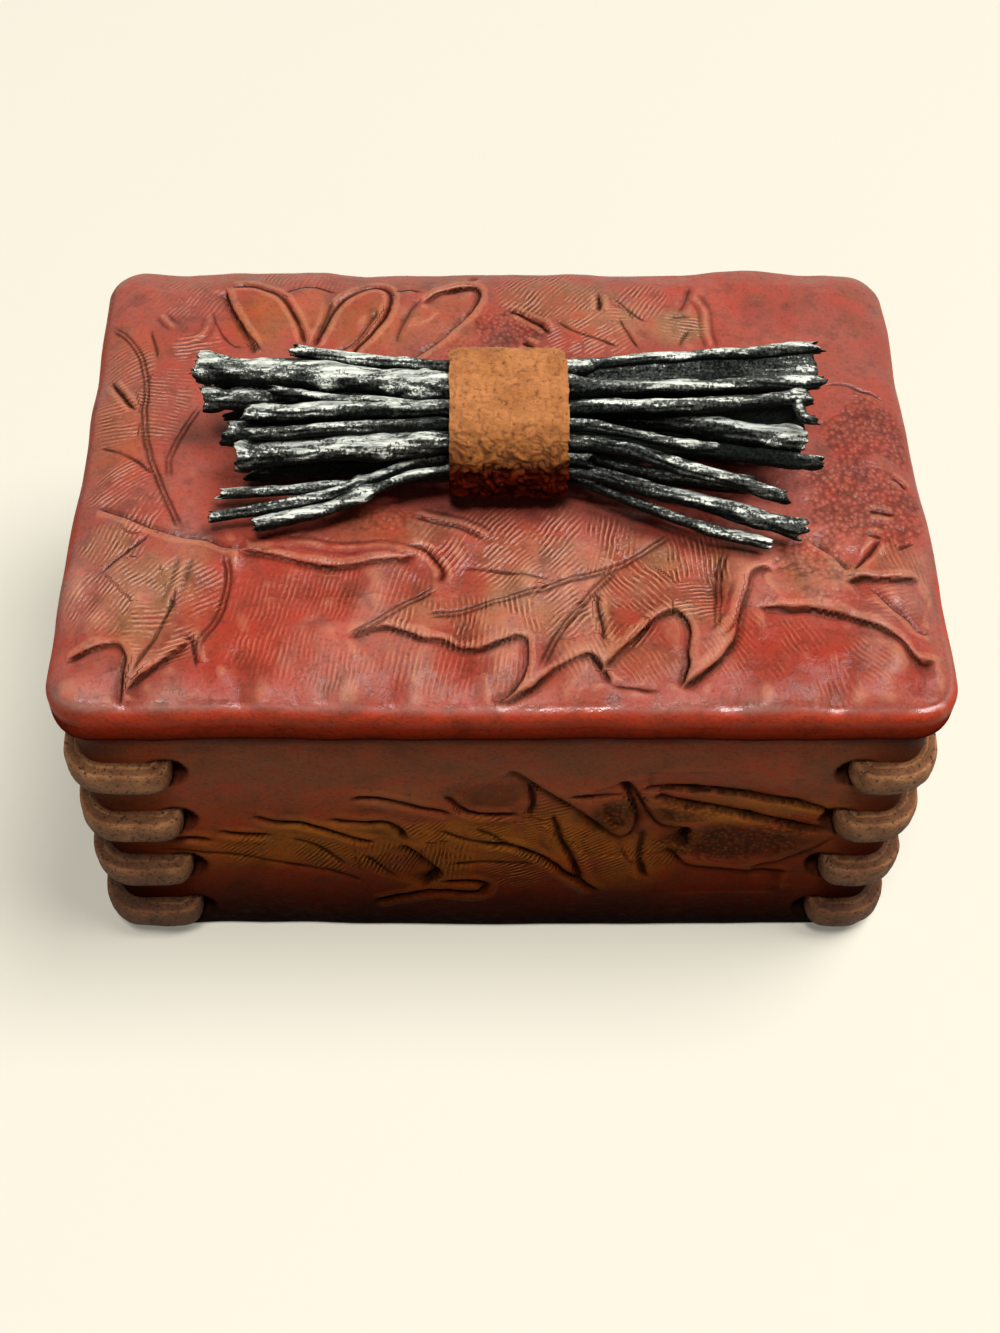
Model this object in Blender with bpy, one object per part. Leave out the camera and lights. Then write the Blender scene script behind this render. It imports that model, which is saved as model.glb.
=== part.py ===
"""A lidded trinket box of cast resin: a tray-like body whose four corners are laced with leather thong,
and a lift-off lid with a bundle of twigs, held by a leather band, as its handle.
Metres, +Z up. The origin is under the middle of the box, on the surface that it stands on, and +X is its length."""

import math

import bmesh
import bpy
import numpy as np
from mathutils import Vector

# Fits between pieces
SEAT_GAP = 0.0003
CUT_OVERRUN = 0.002

# Body
BODY_WIDTH = 0.0976
BODY_DEPTH = 0.0679
BODY_HEIGHT = 0.0457
BODY_CORNER = 0.0036
BODY_FOOT_CHAMFER = 0.0008
BODY_RIM_CHAMFER = 0.0012
WALL = 0.005
FLOOR = 0.005
CAVITY_CORNER = 0.003

# Lid
LID_OVERHANG = 0.0018
LID_THICKNESS = 0.008
LID_TOP_ROUND = 0.0036
LID_UNDER_ROUND = 0.0024
PLUG_DEPTH = 0.003
PLUG_CLEARANCE = 0.0008
PLUG_CHAMFER = 0.0006

# Laces: each loop is a strap that leaves a hole in one wall and goes round the corner into a hole in the next
LACE_HEIGHT = 0.0044
LACE_THICKNESS = 0.0016
LACE_EDGE = 0.0005
LACE_BEND = 0.0018
HOLE_WIDTH = 0.0042
HOLE_ROUND = 0.0014
HOLE_DEPTH = 0.0028
LOOP_HEIGHT_SHARES = (0.82, 0.585, 0.35, 0.115)
FRONT_LEFT_REACH = 0.0102
FRONT_RIGHT_REACH = 0.0078
SIDE_REACH = 0.0088

# Carving: V grooves along the main lines of the tooled leaves
GROOVE_WIDTH = 0.0014
GROOVE_DEPTH = 0.0006
GROOVE_RISE = 0.0003
GROOVE_END_SHARE = 0.35
RIGHT_WALL_SHIFT = 0.012
LEFT_WALL_SHIFT = 0.008
SIDE_CARVING_REACH = 0.0215

# Points of the grooves on the lid's top, as shares of its half width and half depth
LID_GROOVE_SHARES = (
    ((-0.69, 0.84), (-0.67, 0.74), (-0.63, 0.63), (-0.59, 0.50)),
    ((-0.64, 0.85), (-0.55, 0.80), (-0.50, 0.68), (-0.47, 0.55)),
    ((-0.44, 0.62), (-0.40, 0.75), (-0.31, 0.85), (-0.26, 0.78), (-0.30, 0.62), (-0.37, 0.48)),
    ((-0.19, 0.75), (-0.10, 0.85), (-0.04, 0.81), (-0.09, 0.67), (-0.15, 0.56), (-0.24, 0.46)),
    ((-0.90, 0.56), (-0.86, 0.42), (-0.85, 0.21), (-0.81, -0.02), (-0.77, -0.18), (-0.74, -0.27)),
    ((-0.72, 0.25), (-0.75, 0.13), (-0.775, 0.0)),
    ((-0.90, -0.22), (-0.79, -0.32), (-0.62, -0.37), (-0.43, -0.44), (-0.24, -0.43)),
    ((-0.61, -0.46), (-0.61, -0.57), (-0.64, -0.70), (-0.66, -0.82)),
    ((-0.90, -0.78), (-0.84, -0.77), (-0.82, -0.87)),
    ((-0.21, -0.37), (-0.14, -0.44), (-0.16, -0.55), (-0.22, -0.61), (-0.28, -0.67)),
    ((-0.33, -0.755), (-0.25, -0.71), (-0.13, -0.75), (-0.03, -0.78), (0.04, -0.76), (0.05, -0.83), (0.01, -0.90)),
    ((0.06, -0.90), (0.11, -0.85), (0.18, -0.82), (0.21, -0.88)),
    ((0.25, -0.79), (0.31, -0.68), (0.37, -0.64), (0.40, -0.72), (0.40, -0.82), (0.38, -0.89)),
    ((0.44, -0.85), (0.50, -0.75), (0.53, -0.60), (0.56, -0.48)),
    ((-0.16, -0.66), (0.03, -0.58), (0.18, -0.50), (0.32, -0.40)),
    ((0.21, -0.56), (0.17, -0.64), (0.12, -0.73)),
    ((0.50, -0.40), (0.48, -0.50), (0.475, -0.62)),
    ((0.58, -0.61), (0.69, -0.63), (0.82, -0.70), (0.89, -0.78)),
    ((0.69, -0.33), (0.74, -0.40), (0.77, -0.47)),
    ((0.86, -0.33), (0.83, -0.40), (0.80, -0.45)),
    ((0.79, -0.52), (0.85, -0.51), (0.90, -0.50)),
    ((0.03, 0.72), (0.09, 0.67), (0.14, 0.59)),
    ((0.15, 0.67), (0.22, 0.59), (0.29, 0.53)),
    ((0.32, 0.66), (0.33, 0.58), (0.35, 0.51)),
    ((0.49, 0.82), (0.52, 0.70), (0.53, 0.55)),
)

# Points of the grooves on the walls: along them as shares of the body's half width, and up as shares of its height
WALL_GROOVE_SHARES = (
    ((-0.36, 0.68), (-0.27, 0.69), (-0.12, 0.61), (0.03, 0.60)),
    ((-0.61, 0.59), (-0.49, 0.57), (-0.38, 0.50), (-0.31, 0.46)),
    ((-0.42, 0.60), (-0.28, 0.58), (-0.23, 0.49)),
    ((-0.72, 0.50), (-0.64, 0.51), (-0.56, 0.50)),
    ((-0.23, 0.43), (-0.19, 0.37), (-0.15, 0.29)),
    ((-0.32, 0.15), (-0.20, 0.19), (-0.04, 0.20)),
    ((-0.15, 0.52), (-0.07, 0.47), (0.05, 0.43)),
    ((0.03, 0.81), (0.13, 0.70), (0.23, 0.58), (0.30, 0.50)),
    ((0.335, 0.56), (0.33, 0.65), (0.29, 0.76)),
    ((0.37, 0.62), (0.40, 0.55), (0.46, 0.53), (0.47, 0.45)),
    ((0.36, 0.73), (0.49, 0.72), (0.62, 0.68), (0.74, 0.65)),
    ((0.50, 0.64), (0.62, 0.59), (0.73, 0.55)),
    ((0.43, 0.42), (0.48, 0.35), (0.60, 0.31), (0.72, 0.29)),
    ((0.14, 0.55), (0.17, 0.43), (0.22, 0.27)),
)

# Handle: twigs held by a band and fanned out past it
TWIG_RADIUS = 0.0016
BUNDLE_LENGTH = 0.0745
BUNDLE_DEPTH = 0.017
BUNDLE_HEIGHT = 0.012
BAND_WIDTH = 0.0138
BAND_THICKNESS = 0.0011
BAND_OFFSET = 0.0008
BAND_EDGE_THINNING = 0.0006

# Each twig has its two ends as shares of the bundle's half length. At the stations it has its sideways
# places as shares of the bundle's half depth, its heights as shares of the bundle's height above the lid,
# and its radii as shares of the full radius. Where two of them meet, they are eased apart.
STATION_SHARES = (-1.0, -0.62, -0.19, 0.21, 0.6, 1.0)
TWIG_SHARES = (
    (-0.67, 1.02, (1.20, 0.83, 0.42, 0.46, 0.66, 0.91), (0.80, 0.86, 0.90, 0.90, 0.87, 0.80),
     (0.50, 0.50, 0.55, 0.68, 0.76, 0.82)),
    (-0.96, 1.00, (0.75, 0.36, 0.12, 0.10, 0.19, 0.31), (0.75, 0.82, 0.86, 0.88, 0.89, 0.83),
     (1.00, 1.00, 0.98, 0.85, 0.85, 0.90)),
    (-0.80, 0.96, (-0.08, -0.18, -0.27, -0.28, -0.22, -0.06), (0.68, 0.78, 0.90, 0.91, 0.91, 0.86),
     (0.62, 0.62, 0.58, 0.55, 0.52, 0.50)),
    (-0.79, 0.66, (-0.64, -0.54, -0.47, -0.52, -0.82, -1.05), (0.64, 0.75, 0.86, 0.86, 0.78, 0.68),
     (0.45, 0.48, 0.46, 0.44, 0.38, 0.30)),
    (-0.84, 0.87, (-0.72, -0.66, -0.66, -0.68, -1.04, -1.45), (0.57, 0.62, 0.69, 0.75, 0.66, 0.33),
     (0.95, 0.92, 0.72, 0.56, 0.54, 0.50)),
    (-0.77, 0.93, (-1.65, -1.35, -0.84, -0.86, -1.26, -1.70), (0.16, 0.23, 0.53, 0.54, 0.38, 0.18),
     (0.56, 0.52, 0.38, 0.46, 0.62, 0.80)),
    (-0.90, 0.75, (-1.36, -1.13, -0.62, -0.66, -1.08, -1.20), (0.13, 0.26, 0.48, 0.58, 0.50, 0.42),
     (0.48, 0.46, 0.38, 0.33, 0.31, 0.30)),
    (-0.89, 0.83, (-0.95, -0.92, -0.74, -0.78, -1.54, -1.93), (0.17, 0.26, 0.36, 0.36, 0.22, 0.10),
     (0.42, 0.42, 0.42, 0.42, 0.44, 0.42)),
    (-0.95, 0.95, (0.35, 0.33, 0.08, 0.03, -0.25, -0.48), (0.55, 0.58, 0.60, 0.61, 0.64, 0.57),
     (0.88, 0.82, 0.78, 0.76, 0.80, 0.84)),
    (-0.87, 1.00, (-0.22, -0.24, -0.34, -0.38, -0.58, -0.68), (0.50, 0.52, 0.58, 0.59, 0.55, 0.45),
     (0.95, 0.88, 0.76, 0.72, 0.66, 0.52)),
    (-0.80, 0.78, (-0.60, -0.56, -0.44, -0.46, -0.82, -1.10), (0.26, 0.28, 0.27, 0.27, 0.33, 0.30),
     (0.90, 0.86, 0.76, 0.74, 0.70, 0.60)),
    (-0.76, 0.90, (1.10, 0.95, 0.74, 0.76, 0.95, 1.15), (0.50, 0.56, 0.64, 0.64, 0.60, 0.55),
     (0.85, 0.80, 0.72, 0.72, 0.80, 0.80)),
    (-0.88, 0.80, (0.62, 0.48, 0.36, 0.36, 0.44, 0.52), (0.28, 0.28, 0.27, 0.27, 0.28, 0.26),
     (0.90, 0.86, 0.76, 0.76, 0.82, 0.80)),
    (-0.72, 0.94, (0.02, 0.0, -0.04, -0.05, -0.05, 0.0), (0.26, 0.26, 0.27, 0.27, 0.27, 0.26),
     (0.88, 0.86, 0.78, 0.78, 0.84, 0.84)),
    (-0.82, 0.97, (1.00, 0.88, 0.72, 0.74, 1.00, 1.25), (0.18, 0.22, 0.34, 0.34, 0.26, 0.20),
     (0.74, 0.72, 0.66, 0.66, 0.72, 0.70)),
    (-0.91, 0.98, (0.74, 0.66, 0.42, 0.42, 0.52, 0.62), (0.52, 0.56, 0.60, 0.60, 0.58, 0.54),
     (0.72, 0.72, 0.70, 0.70, 0.78, 0.82)),
    (-0.74, 0.15, (0.36, 0.22, -0.08, -0.08, -0.06, -0.06), (0.72, 0.80, 0.83, 0.82, 0.80, 0.80),
     (0.34, 0.36, 0.34, 0.32, 0.32, 0.32)),
    (-0.12, 0.29, (-0.82, -0.82, -0.82, -0.83, -0.9, -0.9), (0.64, 0.64, 0.64, 0.65, 0.66, 0.66),
     (0.38, 0.38, 0.38, 0.42, 0.44, 0.44)),
)

# Mesh fineness
CORNER_STEPS = 5
EDGE_STEPS = 4
BEND_STEPS = 3
HOLE_STEPS = 2
TWIG_SIDES = 8
TWIG_RINGS = 17
SETTLING_ROUNDS = 400
BAND_RINGS = 5
BAND_SIDES = 36

# Sizes that follow from those above
LID_BOTTOM = BODY_HEIGHT + SEAT_GAP
LID_TOP = LID_BOTTOM + LID_THICKNESS
LACE_STANDOFF = SEAT_GAP + LACE_THICKNESS / 2
HALF_BUNDLE = BUNDLE_LENGTH / 2


def clear_scene():
    for obj in list(bpy.data.objects):
        bpy.data.objects.remove(obj, do_unlink=True)


def material(name, colour, roughness, metallic=0.0):
    """A Principled material. The colour is linear RGB."""
    made = bpy.data.materials.new(name)
    made.use_nodes = True
    shader = made.node_tree.nodes["Principled BSDF"]
    shader.inputs["Base Color"].default_value = (*colour, 1.0)
    shader.inputs["Roughness"].default_value = roughness
    shader.inputs["Metallic"].default_value = metallic
    return made


def node_from(name, mesh, finish, parent):
    """An object of its own for one piece, shaded smooth up to its sharp edges."""
    mesh.materials.append(finish)
    mesh.shade_smooth()
    mesh.set_sharp_from_angle(angle=math.radians(35))
    obj = bpy.data.objects.new(name, mesh)
    bpy.context.scene.collection.objects.link(obj)
    obj.parent = parent
    return obj


def empty(name, place):
    made = bpy.data.objects.new(name, None)
    made.location = place
    bpy.context.scene.collection.objects.link(made)
    return made


def skin(name, loops):
    """A closed mesh through loops of points, each loop joined to the next and the first and last ones capped."""
    shape = bmesh.new()
    rings = [[shape.verts.new(point) for point in loop] for loop in loops]
    for ring, following in zip(rings, rings[1:]):
        count = len(ring)
        for i in range(count):
            j = (i + 1) % count
            shape.faces.new((ring[i], ring[j], following[j], following[i]))
    shape.faces.new(rings[0])
    shape.faces.new(rings[-1])
    bmesh.ops.recalc_face_normals(shape, faces=shape.faces)
    mesh = bpy.data.meshes.new(name)
    shape.to_mesh(mesh)
    shape.free()
    return mesh


def rounded_outline(width, depth, corner, height, steps=CORNER_STEPS):
    """Points of a rectangle with round corners, at one height. The round is limited by the rectangle."""
    corner = min(corner, width / 2, depth / 2)
    points = []
    for quarter in range(4):
        start = quarter * math.pi / 2
        side_x = 1 if quarter in (0, 3) else -1
        side_y = 1 if quarter in (0, 1) else -1
        centre = Vector((side_x * (width / 2 - corner), side_y * (depth / 2 - corner), height))
        for step in range(steps + 1):
            angle = start + step / steps * math.pi / 2
            points.append(centre + corner * Vector((math.cos(angle), math.sin(angle), 0)))
    return points


def inset_outline(width, depth, corner, inset, height):
    """The same outline, drawn in by an inset all round. Its corner keeps a quarter of its round at least."""
    least = corner / 4
    return rounded_outline(width - 2 * inset, depth - 2 * inset, max(corner - inset, least), height)


# Body

def cavity_size():
    return BODY_WIDTH - 2 * WALL, BODY_DEPTH - 2 * WALL


def body_shell():
    width, depth = cavity_size()
    outside = (BODY_WIDTH, BODY_DEPTH, BODY_CORNER)
    loops = [
        inset_outline(*outside, BODY_FOOT_CHAMFER, 0),
        inset_outline(*outside, 0, BODY_FOOT_CHAMFER),
        inset_outline(*outside, 0, BODY_HEIGHT - BODY_RIM_CHAMFER),
        inset_outline(*outside, BODY_RIM_CHAMFER, BODY_HEIGHT),
        inset_outline(width, depth, CAVITY_CORNER, 0, BODY_HEIGHT),
        inset_outline(width, depth, CAVITY_CORNER, 0, FLOOR),
    ]
    return skin("box_body", loops)


def hole_cutter(name, start, along, out):
    """A closed prism for one lace hole, centred on a point of the wall's face. Out is the wall's own direction."""
    section = rounded_outline(HOLE_WIDTH, LACE_HEIGHT + 2 * SEAT_GAP, HOLE_ROUND, 0, HOLE_STEPS)
    loops = []
    for reach in (-HOLE_DEPTH, CUT_OVERRUN):
        loops.append([start + along * p.x + Vector((0, 0, p.y)) + out * reach for p in section])
    return skin(name, loops)


def corner_frames():
    """For each corner: its name, its signs in X and Y, and the reach of its straps along the long wall."""
    return (
        ("front_left", -1, -1, FRONT_LEFT_REACH),
        ("front_right", 1, -1, FRONT_RIGHT_REACH),
        ("back_left", -1, 1, FRONT_LEFT_REACH),
        ("back_right", 1, 1, FRONT_RIGHT_REACH),
    )


def cutter_collection(name, node):
    """A collection of cutters, all of them taken away from a node."""
    cutters = bpy.data.collections.new(name)
    bpy.context.scene.collection.children.link(cutters)
    cut = node.modifiers.new(name, "BOOLEAN")
    cut.operand_type = "COLLECTION"
    cut.collection = cutters
    cut.operation = "DIFFERENCE"
    cut.solver = "EXACT"
    return cutters


def add_cutter(cutters, name, mesh):
    cutter = bpy.data.objects.new(name, mesh)
    cutter.hide_render = True
    cutter.display_type = "WIRE"
    cutters.objects.link(cutter)


def groove_cutter(name, line, out):
    """A closed V along a line of points on a face. Out is the face's own direction, and both ends taper."""
    loops = []
    for i, point in enumerate(line):
        tangent = (line[min(i + 1, len(line) - 1)] - line[max(i - 1, 0)]).normalized()
        across = tangent.cross(out)
        size = GROOVE_END_SHARE if i in (0, len(line) - 1) else 1
        deep = size * GROOVE_DEPTH
        wide = size * GROOVE_WIDTH / 2 * (deep + GROOVE_RISE) / deep
        rise = out * GROOVE_RISE
        loops.append([point + rise + across * wide, point + rise - across * wide, point - out * deep])
    return skin(name, loops)


def wall_lines():
    """The grooves of the four walls, as points, with each wall's direction. The sides take those that fit."""
    half_width, half_depth = BODY_WIDTH / 2, BODY_DEPTH / 2
    for shares in WALL_GROOVE_SHARES:
        flat = [(along * half_width, up * BODY_HEIGHT) for along, up in shares]
        yield [Vector((a, -half_depth, z)) for a, z in flat], Vector((0, -1, 0))
        yield [Vector((a, half_depth, z)) for a, z in flat], Vector((0, 1, 0))
        for side, shift in ((1, -RIGHT_WALL_SHIFT), (-1, LEFT_WALL_SHIFT)):
            if max(abs(a + shift) for a, _ in flat) < SIDE_CARVING_REACH:
                yield [Vector((side * half_width, a + shift, z)) for a, z in flat], Vector((side, 0, 0))


def body(finish, parent):
    """The shell, with two holes for each loop of lace and the leaves' grooves cut into its walls."""
    shell = node_from("box_body", body_shell(), finish, parent)
    cutters = cutter_collection("lace_holes", shell)
    for corner, side_x, side_y, reach in corner_frames():
        long_wall = Vector((side_x * (BODY_WIDTH / 2 - reach), side_y * BODY_DEPTH / 2, 0))
        short_wall = Vector((side_x * BODY_WIDTH / 2, side_y * (BODY_DEPTH / 2 - SIDE_REACH), 0))
        walls = (
            ("long", long_wall, Vector((1, 0, 0)), Vector((0, side_y, 0))),
            ("short", short_wall, Vector((0, 1, 0)), Vector((side_x, 0, 0))),
        )
        for row, share in enumerate(LOOP_HEIGHT_SHARES, 1):
            up = Vector((0, 0, share * BODY_HEIGHT))
            for wall, start, along, out in walls:
                name = f"hole_{corner}_{wall}_{row}"
                add_cutter(cutters, name, hole_cutter(name, start + up, along, out))
    for number, (line, out) in enumerate(wall_lines(), 1):
        name = f"wall_groove_{number}"
        add_cutter(cutters, name, groove_cutter(name, line, out))


# Laces

def arc(centre, radius, first, last, steps):
    """Plan points of an arc, from one angle to another, in degrees."""
    points = []
    for step in range(steps + 1):
        angle = math.radians(first + (last - first) * step / steps)
        points.append(centre + radius * Vector((math.cos(angle), math.sin(angle))))
    return points


def lace_route(long_reach, short_reach):
    """The strap's middle line in plan, from the corner's outer point at zero: the long wall runs to -X and
    its outside is -Y, and the short wall runs to +Y and its outside is +X."""
    leg_end = HOLE_DEPTH - SEAT_GAP
    bend = LACE_BEND
    turn = BODY_CORNER + LACE_STANDOFF
    centre = Vector((-BODY_CORNER, BODY_CORNER))
    run = -LACE_STANDOFF + bend
    points = [Vector((-long_reach, leg_end))]
    points += arc(Vector((-long_reach + bend, run)), bend, 180, 270, BEND_STEPS)
    points += arc(centre, turn, 270, 360, CORNER_STEPS)
    points += arc(Vector((-run, short_reach - bend)), bend, 0, 90, BEND_STEPS)
    points.append(Vector((-leg_end, short_reach)))
    return points


def lace_section():
    """The strap's section: across its thickness and up its height, with eased edges."""
    across, up = LACE_THICKNESS / 2, LACE_HEIGHT / 2
    ease = min(LACE_EDGE, across / 2)
    return (
        (across, up - ease), (across - ease, up), (ease - across, up), (-across, up - ease),
        (-across, ease - up), (ease - across, -up), (across - ease, -up), (across, ease - up),
    )


def lace(name, corner, height, finish, parent):
    _, side_x, side_y, reach = corner
    route = lace_route(reach, SIDE_REACH)
    loops = []
    for i, point in enumerate(route):
        tangent = (route[min(i + 1, len(route) - 1)] - route[max(i - 1, 0)]).normalized()
        across = Vector((tangent.y, -tangent.x))
        ring = []
        for thick, tall in lace_section():
            place = point + across * thick
            ring.append(
                Vector((
                    side_x * (BODY_WIDTH / 2 + place.x),
                    side_y * (BODY_DEPTH / 2 - place.y),
                    height + tall,
                ))
            )
        loops.append(ring)
    return node_from(name, skin(name, loops), finish, parent)


def laces(finish, parent):
    for corner in corner_frames():
        for row, share in enumerate(LOOP_HEIGHT_SHARES, 1):
            lace(f"lace_{corner[0]}_{row}", corner, share * BODY_HEIGHT, finish, parent)


# Lid

def lid(finish, parent):
    """A slab with rounded edges and the leaves' grooves, and under it the plug that finds the opening."""
    width, depth = cavity_size()
    plug = (width - 2 * PLUG_CLEARANCE, depth - 2 * PLUG_CLEARANCE, CAVITY_CORNER)
    slab = (BODY_WIDTH + 2 * LID_OVERHANG, BODY_DEPTH + 2 * LID_OVERHANG, BODY_CORNER + LID_OVERHANG)
    top_round = min(LID_TOP_ROUND, LID_THICKNESS * 0.55)
    under_round = min(LID_UNDER_ROUND, LID_THICKNESS * 0.4)
    chamfer = min(PLUG_CHAMFER, PLUG_DEPTH / 2)
    loops = [
        inset_outline(*plug, chamfer, LID_BOTTOM - PLUG_DEPTH),
        inset_outline(*plug, 0, LID_BOTTOM - PLUG_DEPTH + chamfer),
        inset_outline(*plug, 0, LID_BOTTOM),
    ]
    for step in range(EDGE_STEPS + 1):
        angle = step / EDGE_STEPS * math.pi / 2
        inset = under_round * (1 - math.sin(angle))
        loops.append(inset_outline(*slab, inset, LID_BOTTOM + under_round * (1 - math.cos(angle))))
    for step in range(EDGE_STEPS + 1):
        angle = step / EDGE_STEPS * math.pi / 2
        inset = top_round * (1 - math.cos(angle))
        loops.append(inset_outline(*slab, inset, LID_TOP - top_round * (1 - math.sin(angle))))
    slab_node = node_from("lid", skin("lid", loops), finish, parent)
    cutters = cutter_collection("lid_grooves", slab_node)
    half_width, half_depth = slab[0] / 2, slab[1] / 2
    for number, shares in enumerate(LID_GROOVE_SHARES, 1):
        line = [Vector((x * half_width, y * half_depth, LID_TOP)) for x, y in shares]
        name = f"lid_groove_{number}"
        add_cutter(cutters, name, groove_cutter(name, line, Vector((0, 0, 1))))


# Handle

def band_share():
    """The share of the half bundle that the band reaches."""
    return (BAND_WIDTH / 2 + BAND_OFFSET) / HALF_BUNDLE


def settled_twigs():
    """Rings' places along the bundle, and each twig's centres (Y, Z) and radii there. Twigs that meet are
    eased apart, and they stay above the lid and, in the band, above its leather."""
    places = np.linspace(-1, 1, TWIG_RINGS) * (1 + 1 / TWIG_RINGS)
    centres = np.array([
        [
            np.interp(places, STATION_SHARES, sideways) * BUNDLE_DEPTH / 2,
            np.interp(places, STATION_SHARES, heights) * BUNDLE_HEIGHT + LID_TOP,
        ]
        for _, _, sideways, heights, _ in TWIG_SHARES
    ]).transpose(0, 2, 1)
    radii = np.array([np.interp(places, STATION_SHARES, shares) for *_, shares in TWIG_SHARES]) * TWIG_RADIUS
    ring_step = places[1] - places[0]
    near_band = np.clip((abs(places) - band_share() - ring_step) / ring_step, 0, 1)
    floor = LID_TOP + SEAT_GAP + (BAND_THICKNESS + SEAT_GAP) * (1 - near_band)
    need = radii[:, None] + radii[None] + SEAT_GAP
    for _ in range(SETTLING_ROUNDS):
        apart = centres[:, None] - centres[None]
        distance = np.maximum(np.linalg.norm(apart, axis=-1), SEAT_GAP)
        push = np.clip(need - distance, 0, None) / distance / 4
        push[range(len(centres)), range(len(centres))] = 0
        centres = centres + (apart * push[..., None]).sum(axis=1)
        centres[..., 1] = np.maximum(centres[..., 1], floor + radii)
    return places, centres, radii


def twig(name, ends, places, centres, radii, finish, parent):
    """One twig, a tube of changing radius from end to end, with a ring at every place between."""
    first, last = ends
    own = np.concatenate([[first], places[(places > first) & (places < last)], [last]])
    loops = []
    for share in own:
        y, z = (np.interp(share, places, centres[:, axis]) for axis in (0, 1))
        radius = np.interp(share, places, radii)
        turns = [2 * math.pi * side / TWIG_SIDES for side in range(TWIG_SIDES)]
        loops.append([
            Vector((share * HALF_BUNDLE, y + radius * math.cos(turn), z + radius * math.sin(turn)))
            for turn in turns
        ])
    return node_from(name, skin(name, loops), finish, parent)


def twigs(finish, parent):
    places, centres, radii = settled_twigs()
    for i, (first, last, *_) in enumerate(TWIG_SHARES):
        twig(f"twig_{i + 1:02d}", (first, last), places, centres[i], radii[i], finish, parent)


def band_outline(grow):
    """The taut outline round the twigs in the band, in Y and Z: where neighbouring tangents meet."""
    places, centres, radii = settled_twigs()
    ring_step = places[1] - places[0]
    inside = abs(places) < band_share() + ring_step
    centres, radii = centres[:, inside].reshape(-1, 2), radii[:, inside].ravel()
    turns = [2 * math.pi * side / BAND_SIDES for side in range(BAND_SIDES)]
    reach = [max(centres @ (math.cos(turn), math.sin(turn)) + radii) + SEAT_GAP + grow for turn in turns]
    step = turns[1]
    points = []
    for i, turn in enumerate(turns):
        first, second = reach[i], reach[(i + 1) % BAND_SIDES]
        sideways = (second - first * math.cos(step)) / math.sin(step)
        points.append((
            first * math.cos(turn) - sideways * math.sin(turn),
            first * math.sin(turn) + sideways * math.cos(turn),
        ))
    return points


def band(finish, parent):
    """A leather band wound once round the twigs, thinner towards its two edges."""
    shape = bmesh.new()
    rows = []
    rings = [ring / (BAND_RINGS - 1) * 2 - 1 for ring in range(BAND_RINGS)]
    for number, share in enumerate(rings + rings[::-1]):
        inside = number >= BAND_RINGS
        grow = 0 if inside else BAND_THICKNESS - BAND_EDGE_THINNING * abs(share) ** 4
        x = BAND_OFFSET + share * BAND_WIDTH / 2
        rows.append([shape.verts.new((x, y, z)) for y, z in band_outline(grow)])
    for row, following in zip(rows, rows[1:] + rows[:1]):
        for i in range(len(row)):
            j = (i + 1) % len(row)
            shape.faces.new((row[i], row[j], following[j], following[i]))
    bmesh.ops.recalc_face_normals(shape, faces=shape.faces)
    mesh = bpy.data.meshes.new("tie_band")
    shape.to_mesh(mesh)
    shape.free()
    return node_from("tie_band", mesh, finish, parent)


def build():
    clear_scene()
    body_resin = material("body_resin", (0.19, 0.035, 0.018), 0.45)
    lid_resin = material("lid_resin", (0.36, 0.062, 0.032), 0.42)
    thong = material("lace_leather", (0.12, 0.040, 0.012), 0.5)
    bark = material("twig_bark", (0.045, 0.045, 0.042), 0.38)
    strap = material("band_leather", (0.42, 0.16, 0.045), 0.75)
    box = empty("box", (0, 0, 0))
    top = empty("lid_part", (0, 0, 0))
    body(body_resin, box)
    laces(thong, box)
    lid(lid_resin, top)
    twigs(bark, top)
    band(strap, top)


build()
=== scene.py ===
import itertools
import math

import bmesh
import bpy
import numpy as np
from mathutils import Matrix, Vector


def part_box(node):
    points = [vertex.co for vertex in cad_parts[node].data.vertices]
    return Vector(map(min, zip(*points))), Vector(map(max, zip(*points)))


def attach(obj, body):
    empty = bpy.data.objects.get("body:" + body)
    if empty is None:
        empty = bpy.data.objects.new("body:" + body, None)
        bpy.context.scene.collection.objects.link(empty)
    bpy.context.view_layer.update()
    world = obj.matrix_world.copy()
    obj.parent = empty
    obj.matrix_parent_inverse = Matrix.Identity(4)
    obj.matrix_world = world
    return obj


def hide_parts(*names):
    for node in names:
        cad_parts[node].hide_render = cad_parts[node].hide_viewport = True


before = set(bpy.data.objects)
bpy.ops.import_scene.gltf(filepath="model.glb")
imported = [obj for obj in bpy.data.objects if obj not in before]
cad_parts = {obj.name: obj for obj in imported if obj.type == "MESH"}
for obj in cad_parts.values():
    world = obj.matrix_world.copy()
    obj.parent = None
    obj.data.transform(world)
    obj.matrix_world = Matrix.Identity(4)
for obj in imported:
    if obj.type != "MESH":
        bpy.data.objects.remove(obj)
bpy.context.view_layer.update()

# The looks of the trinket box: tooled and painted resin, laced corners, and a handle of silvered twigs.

MM = 0.001

# Camera, from the photograph: pixels of its 1000 x 1333 frame, and metres
IMAGE_WIDTH = 1000
IMAGE_HEIGHT = 1333
FOCAL_PIXELS = 1770
PRINCIPAL = (447, 666.5)
PITCH = math.radians(54)
CAMERA = (-6.2 * MM, -143.45 * MM, 209.4 * MM)
SENSOR = 36

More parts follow.
